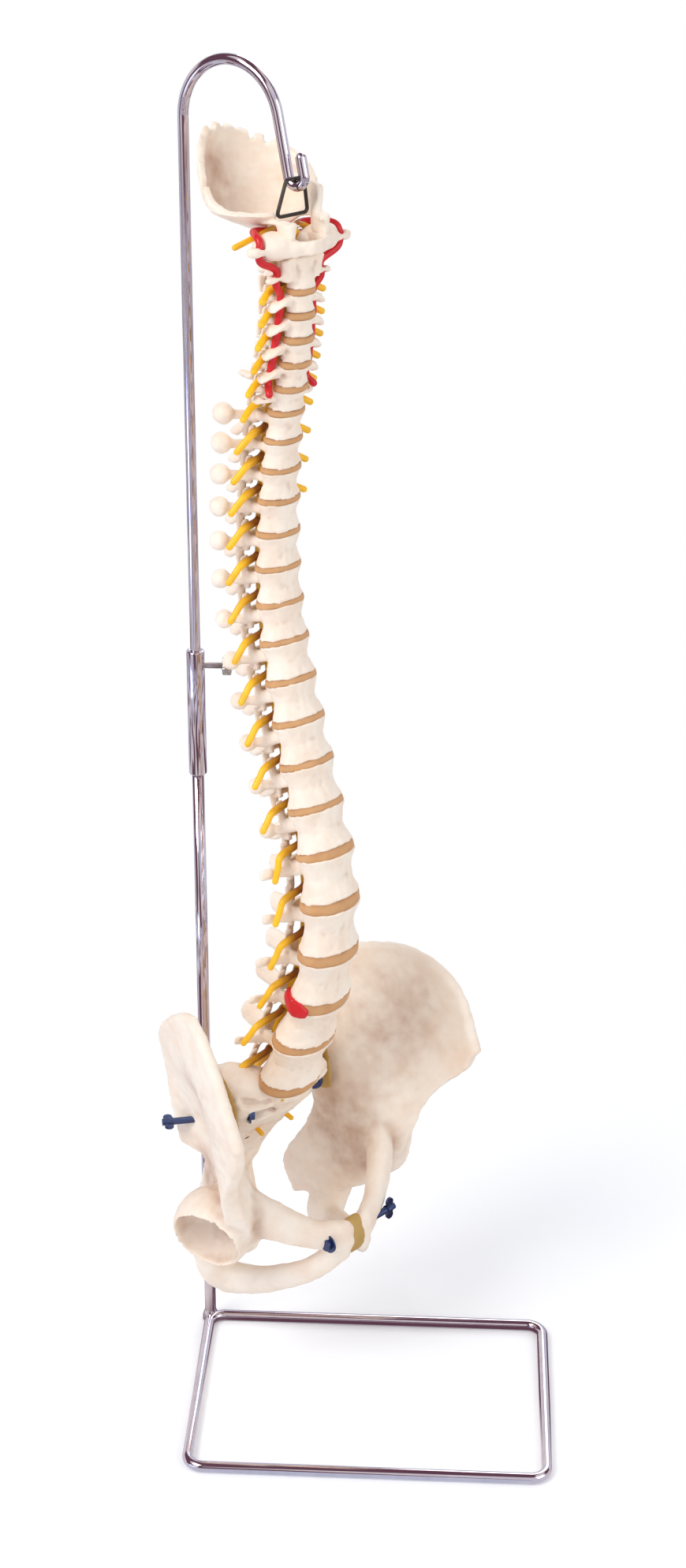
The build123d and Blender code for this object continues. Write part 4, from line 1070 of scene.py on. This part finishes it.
class SPINE_OT_stand(bpy.types.Operator):
    """Rod base, two-part upright with its sleeve and screw, hook and wire loop"""
    bl_idname = "spine.stand"
    bl_label = "Stand"

    def execute(self, context):
        sizes = context.scene.spine_sizes
        foot = np.array([-BASE_HALF_WIDTH, BASE_HALF_DEPTH, 0]) * MM
        self.base(sizes.base_rod / 2)
        self.upright(sizes, foot)
        self.hanger(sizes.upper_rod / 2, foot)
        self.screw(foot)
        self.loop(sizes.wire / 2)
        return {"FINISHED"}

    def base(self, radius):
        """Rod bent to a rectangle with round corners."""
        corners = [(x * BASE_HALF_WIDTH, y * BASE_HALF_DEPTH, radius)
                   for x, y in ((-1, 1), (1, 1), (1, -1), (-1, -1))]
        path = rounded_loop(corners, BASE_CORNER, 14) * MM
        obj = grid_piece("base_rim", carried(path, radius * MM, UP, 24, closed=True), True)
        dress(obj, chrome_look(), "stand", "chrome", "base_frame")

    def upright(self, sizes, foot):
        """Lower rod with the weld at its foot, and the sleeve that is open above."""
        rod, tube, bore = sizes.lower_rod / 2, sizes.sleeve / 2, sizes.upper_rod / 2 + 0.06
        low, high = SLEEVE_BOTTOM, SLEEVE_TOP
        profiles = {
            "upright": [(0.02, 1.0), (rod + 1.9, 1.2), (rod + 1.7, 4.2), (rod + 0.9, 7.4), (rod + 0.25, 9.0),
                        (rod, 9.8), (rod, 300.0), (rod, low - 1)],
            "sleeve": [(rod - 0.1, low - 0.4), (tube - 0.9, low), (tube - 0.25, low + 0.3), (tube, low + 1),
                       (tube, high - 1), (tube - 0.25, high - 0.3), (tube - 0.9, high), (bore + 0.4, high),
                       (bore, high - 0.4), (bore, BORE_BOTTOM), (0.02, BORE_BOTTOM - 0.2)],
        }
        for name, profile in profiles.items():
            obj = grid_piece(name, turned(np.array(profile) * MM, foot, UP, (1, 0, 0)))
            dress(obj, chrome_look(), "stand", "chrome", "base_frame")

    def hanger(self, radius, foot):
        """Upper rod in one plane: straight up, round an arch, down a leg and round the small hook."""
        across, down = math.cos(LEG_SLOPE), math.sin(LEG_SLOPE)
        straight = np.stack((np.zeros(24), np.linspace(BORE_BOTTOM + 0.5, ARCH_Z - 1, 24)), -1)
        a = np.linspace(math.pi, LEG_SLOPE, 60)
        arch = np.stack((ARCH_RADIUS + ARCH_RADIUS * np.cos(a), ARCH_Z + ARCH_RADIUS * np.sin(a)), -1)
        end = arch[-1] + LEG_LENGTH * np.array([down, -across])
        leg = arch[-1] + (end - arch[-1]) * np.linspace(0.1, 0.95, 8)[:, None]
        centre = end + HOOK_RADIUS * np.array([across, down])
        a = np.linspace(math.pi, 2 * math.pi, 34) + LEG_SLOPE
        hook = centre + HOOK_RADIUS * np.stack((np.cos(a), np.sin(a)), -1)
        tip = hook[-1] + np.linspace(1.5, 10.0, 5)[:, None] * np.array([-down, across])
        flat = np.concatenate((straight, arch, leg, hook, tip))
        out = np.array([math.cos(ARCH_TURN), math.sin(ARCH_TURN)])
        path = np.concatenate((flat[:, :1] * out * MM + foot[:2], flat[:, 1:] * MM), axis=1)
        obj = grid_piece("hook_rod", carried(path, radius * MM, (-out[1], out[0], 0), 28))
        dress(obj, chrome_look(), "hanger", "chrome", "hanger_rod")

    def screw(self, foot):
        """Turned stem and head. The knurls lower the head's radius by 7 % times |sin 12 a| to the 0.6th."""
        start = foot + np.array([3.75, 0, SCREW_Z]) * MM
        reach, head, thick, sides = 14.5, 6.5, 6.5, 192
        far = reach + thick
        profile = np.array([(0.02, 0), (1.6, 0), (2.0, 0.5), (2.0, reach), (3.6, reach), (3.9, reach + 0.3),
                            (head - 0.7, reach + 0.4), (head - 0.2, reach + 0.7), (head, reach + 1.1),
                            (head, far - 1.1), (head - 0.2, far - 0.6), (head - 0.8, far - 0.2), (3.5, far),
                            (3.2, far - 0.3), (0.02, far - 0.3)])
        grid = turned(profile * MM, start, (1, 0, 0), UP, sides)
        a = np.linspace(0, 2 * math.pi, sides, endpoint=False)
        dip = 1 - 0.07 * np.abs(np.sin(12 * a)) ** 0.6
        knurled = (profile[:, 0] > head - 0.75)[:, None]
        shrink = np.where(knurled, dip[None, :], 1.0)[..., None]
        grid[..., 1:] = start[1:] + (grid[..., 1:] - start[1:]) * shrink
        dress(grid_piece("knurled_screw", grid), nickel_look(), "thumbscrew", "nickel", "thumbscrew")

    def loop(self, radius):
        """Wire bent to a four-cornered loop that widens downward."""
        low = LOOP_Z - 21.5
        corners = [(0, -8.5, LOOP_Z), (0, 6.5, LOOP_Z), (0, 9.5, low), (0, -17.0, low)]
        path = to_row(rounded_loop(corners, 2.5, 10))
        obj = grid_piece("wire_loop", carried(path, radius * MM, (*FORWARD, 0), 16, closed=True), True)
        dress(obj, wire_look(), "hanger", "wire", "hanging_loop")


NUT_SCALE = 0.72


class SPINE_OT_fasteners(bpy.types.Operator):
    """Finish of the pelvis' bolts, and its wing nuts at the photograph's smaller size"""
    bl_idname = "spine.fasteners"
    bl_label = "Bolts"

    def islands(self, count, faces):
        """Number for each point, the same on all points of one solid: the lowest index that it reaches."""
        edges = np.array([(face[k - 1], face[k]) for face in faces for k in range(len(face))])
        island = np.arange(count)
        before = None
        while before is None or (island != before).any():
            before = island.copy()
            np.minimum.at(island, edges[:, 0], island[edges[:, 1]])
            np.minimum.at(island, edges[:, 1], island[edges[:, 0]])
        return island

    def execute(self, context):
        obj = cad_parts["pelvis_bolts"]
        obj.data.materials.clear()
        obj.data.materials.append(bolt_look())
        co, faces = node_solid("wing_nuts")
        island = self.islands(len(co), faces)
        for label in np.unique(island):
            own = island == label
            middle = co[own].mean(axis=0)
            co[own] = middle + (co[own] - middle) * NUT_SCALE
        obj = piece_from("pelvis_wing_nuts", co * MM, faces, smooth=False)
        dress(obj, bolt_look(), "pelvis", "bolt", "wing_nuts")
        return {"FINISHED"}


# Where the photograph was taken from, in mm, degrees and pixels
CAMERA_PLACE = (49.5, -1475.5, 1176.0)
CAMERA_YAW = -2.8
CAMERA_SLOPE = 24.7
CAMERA_ROLL = 0.22
FOCAL_PIXELS = 3125
PHOTO_HEIGHT = 1988
CENTRE_SHIFT = 7
SENSOR = 36.0
WHITE = (1, 1, 1, 1)


class SPINE_OT_studio(bpy.types.Operator):
    """Plain pale floor, soft lamps and the camera at the photograph's angle"""
    bl_idname = "spine.studio"
    bl_label = "Studio"

    def lamp(self, name, place, aim, size, power, colour="#ffffff"):
        """Area lamp at a place, in metres, that faces its aim."""
        data = bpy.data.lights.new(name, "AREA")
        data.color = srgb(colour)[:3]
        data.shape = "RECTANGLE"
        data.size, data.size_y = size
        data.energy = power
        obj = bpy.data.objects.new(name, data)
        bpy.context.scene.collection.objects.link(obj)
        away = unit(np.array(place, float) - np.array(aim, float))
        right = unit(np.cross(UP, away))
        turn = Matrix(np.stack((right, np.cross(away, right), away), 1).tolist()).to_4x4()
        obj.matrix_world = Matrix.Translation(place) @ turn

    def banded(self, tree, value):
        """Colours that the rods mirror: plum shadows, pale blue and white."""
        tone = put(tree, "ShaderNodeValToRGB", {"Fac": value})
        ramp = tone.color_ramp
        ramp.elements[0].position, ramp.elements[0].color = 0.43, srgb("#6f4f5e")
        ramp.elements[1].position, ramp.elements[1].color = 0.62, srgb("#d5e0f2")
        middle = ramp.elements.new(0.5)
        middle.color = srgb("#fbf6f2")
        return tone.outputs[0]

    def by_ray(self, tree, kind, other, own):
        """The second shader for rays of one kind, and the first for all others."""
        rays = put(tree, "ShaderNodeLightPath")
        return put(tree, "ShaderNodeMixShader", {0: rays.outputs[kind], 1: other, 2: own}).outputs[0]

    def floor(self):
        """Flat square sheet under the base, of painted board that reads white to the camera."""
        edge = 4.0
        mesh = bpy.data.meshes.new("floor")
        corners = [(-edge, -edge, 0), (edge, -edge, 0), (edge, edge, 0), (-edge, edge, 0)]
        mesh.from_pydata(corners, [], [(0, 1, 2, 3)])
        obj = bpy.data.objects.new("floor", mesh)
        bpy.context.scene.collection.objects.link(obj)
        material, tree = blank("White board")
        matt = put(tree, "ShaderNodeBsdfDiffuse", {"Color": srgb("#f6f6f6")}).outputs[0]
        glow = put(tree, "ShaderNodeEmission", {"Color": WHITE, "Strength": 0.12}).outputs[0]
        white = put(tree, "ShaderNodeEmission", {"Color": WHITE, "Strength": 1.0}).outputs[0]
        near = put(tree, "ShaderNodeAddShader", {0: matt, 1: glow}).outputs[0]
        place = put(tree, "ShaderNodeTexCoord").outputs["Object"]
        reach = put(tree, "ShaderNodeVectorMath", {0: place}, operation="LENGTH")
        far = put(tree, "ShaderNodeMapRange", {"Value": reach.outputs["Value"], "From Min": 0.3,
                                               "From Max": 0.6}, interpolation_type="SMOOTHSTEP")
        seen = put(tree, "ShaderNodeMixShader", {0: far.outputs[0], 1: near, 2: white}).outputs[0]
        patches = put(tree, "ShaderNodeTexNoise", {"Vector": place, "Scale": 2.6, "Detail": 0.0})
        mirrored_bands = self.banded(tree, patches.outputs["Fac"])
        mirror = put(tree, "ShaderNodeEmission", {"Color": mirrored_bands}).outputs[0]
        plain = self.by_ray(tree, "Is Camera Ray", matt, seen)
        put(tree, "ShaderNodeOutputMaterial", {"Surface": self.by_ray(tree, "Is Glossy Ray", plain, mirror)})
        mesh.materials.append(material)

    def surroundings(self, scene):
        """Soft pale light from all sides, white to the camera and in bands to the rods."""
        world = bpy.data.worlds.new("Studio")
        scene.world = world
        world.use_nodes = True
        tree = world.node_tree
        tree.nodes.clear()
        soft = put(tree, "ShaderNodeBackground", {"Color": srgb("#f4f6ff"), "Strength": 0.62}).outputs[0]
        white = put(tree, "ShaderNodeBackground", {"Color": WHITE, "Strength": 1.0}).outputs[0]
        way = put(tree, "ShaderNodeTexCoord").outputs["Generated"]
        bands = put(tree, "ShaderNodeTexNoise", {"Vector": way, "Scale": 1.3, "Detail": 0.5})
        mirrored_bands = self.banded(tree, bands.outputs["Fac"])
        room = put(tree, "ShaderNodeBackground", {"Color": mirrored_bands}).outputs[0]
        unseen = self.by_ray(tree, "Is Glossy Ray", soft, room)
        put(tree, "ShaderNodeOutputWorld", {"Surface": self.by_ray(tree, "Is Camera Ray", unseen, white)})

    def camera(self, scene):
        """Camera fitted to the photograph: its place, heading, slope and a slight roll."""
        yaw, down, roll = (math.radians(v) for v in (CAMERA_YAW, CAMERA_SLOPE, CAMERA_ROLL))
        ahead = np.array([math.sin(yaw) * math.cos(down), math.cos(yaw) * math.cos(down), -math.sin(down)])
        right = np.array([math.cos(yaw), -math.sin(yaw), 0])
        up = np.cross(right, ahead)
        side = right * math.cos(roll) + up * math.sin(roll)
        top = -right * math.sin(roll) + up * math.cos(roll)
        data = bpy.data.cameras.new("camera")
        data.sensor_width = SENSOR
        data.lens = SENSOR * FOCAL_PIXELS / PHOTO_HEIGHT
        data.shift_y = CENTRE_SHIFT / PHOTO_HEIGHT
        data.clip_start, data.clip_end = 0.05, 30.0
        obj = bpy.data.objects.new("camera", data)
        scene.collection.objects.link(obj)
        turn = Matrix(np.stack((side, top, -ahead), 1).tolist()).to_4x4()
        obj.matrix_world = Matrix.Translation(np.array(CAMERA_PLACE) * MM) @ turn
        scene.camera = obj

    def execute(self, context):
        scene = context.scene
        self.floor()
        self.surroundings(scene)
        self.lamp("key", (-1.5, -1.3, 2.3), (0, 0, 0.45), (1.4, 1.4), 40)
        self.lamp("fill", (1.8, -1.2, 1.4), (0, 0, 0.45), (1.6, 1.6), 15)
        self.lamp("rim", (0.4, 1.8, 1.9), (0, 0, 0.5), (1.2, 1.2), 10)
        self.lamp("low", (-1.4, -1.0, 0.12), (0, 0, 0.2), (0.8, 0.3), 3, "#a9c4ff")
        self.camera(scene)
        scene.view_settings.view_transform = "Standard"
        return {"FINISHED"}


class SPINE_PT_panel(bpy.types.Panel):
    """Sizes, colours and builders of the spine model"""
    bl_label = "Spine Model"
    bl_idname = "SPINE_PT_panel"
    bl_space_type = "VIEW_3D"
    bl_region_type = "UI"
    bl_category = "Spine"

    def draw(self, context):
        layout = self.layout
        for group in (context.scene.spine_sizes, context.scene.spine_looks):
            box = layout.box()
            for key in group.__annotations__:
                box.prop(group, key)
        for operator in OPERATORS:
            layout.operator(operator.bl_idname)


OPERATORS = (SPINE_OT_bones, SPINE_OT_discs, SPINE_OT_nerves, SPINE_OT_arteries, SPINE_OT_stand,
             SPINE_OT_fasteners, SPINE_OT_studio)
CLASSES = (SpineSizes, SpineLooks, *OPERATORS, SPINE_PT_panel)


def register():
    for item in CLASSES:
        bpy.utils.register_class(item)
    bpy.types.Scene.spine_sizes = bpy.props.PointerProperty(type=SpineSizes)
    bpy.types.Scene.spine_looks = bpy.props.PointerProperty(type=SpineLooks)


def unregister():
    del bpy.types.Scene.spine_looks
    del bpy.types.Scene.spine_sizes
    for item in reversed(CLASSES):
        bpy.utils.unregister_class(item)


def main():
    """Registers the add-on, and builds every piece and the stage."""
    register()
    for step in (bpy.ops.spine.bones, bpy.ops.spine.discs, bpy.ops.spine.nerves, bpy.ops.spine.arteries,
                 bpy.ops.spine.stand, bpy.ops.spine.fasteners, bpy.ops.spine.studio):
        step()
    bpy.context.view_layer.update()


if __name__ == "__main__":
    main()
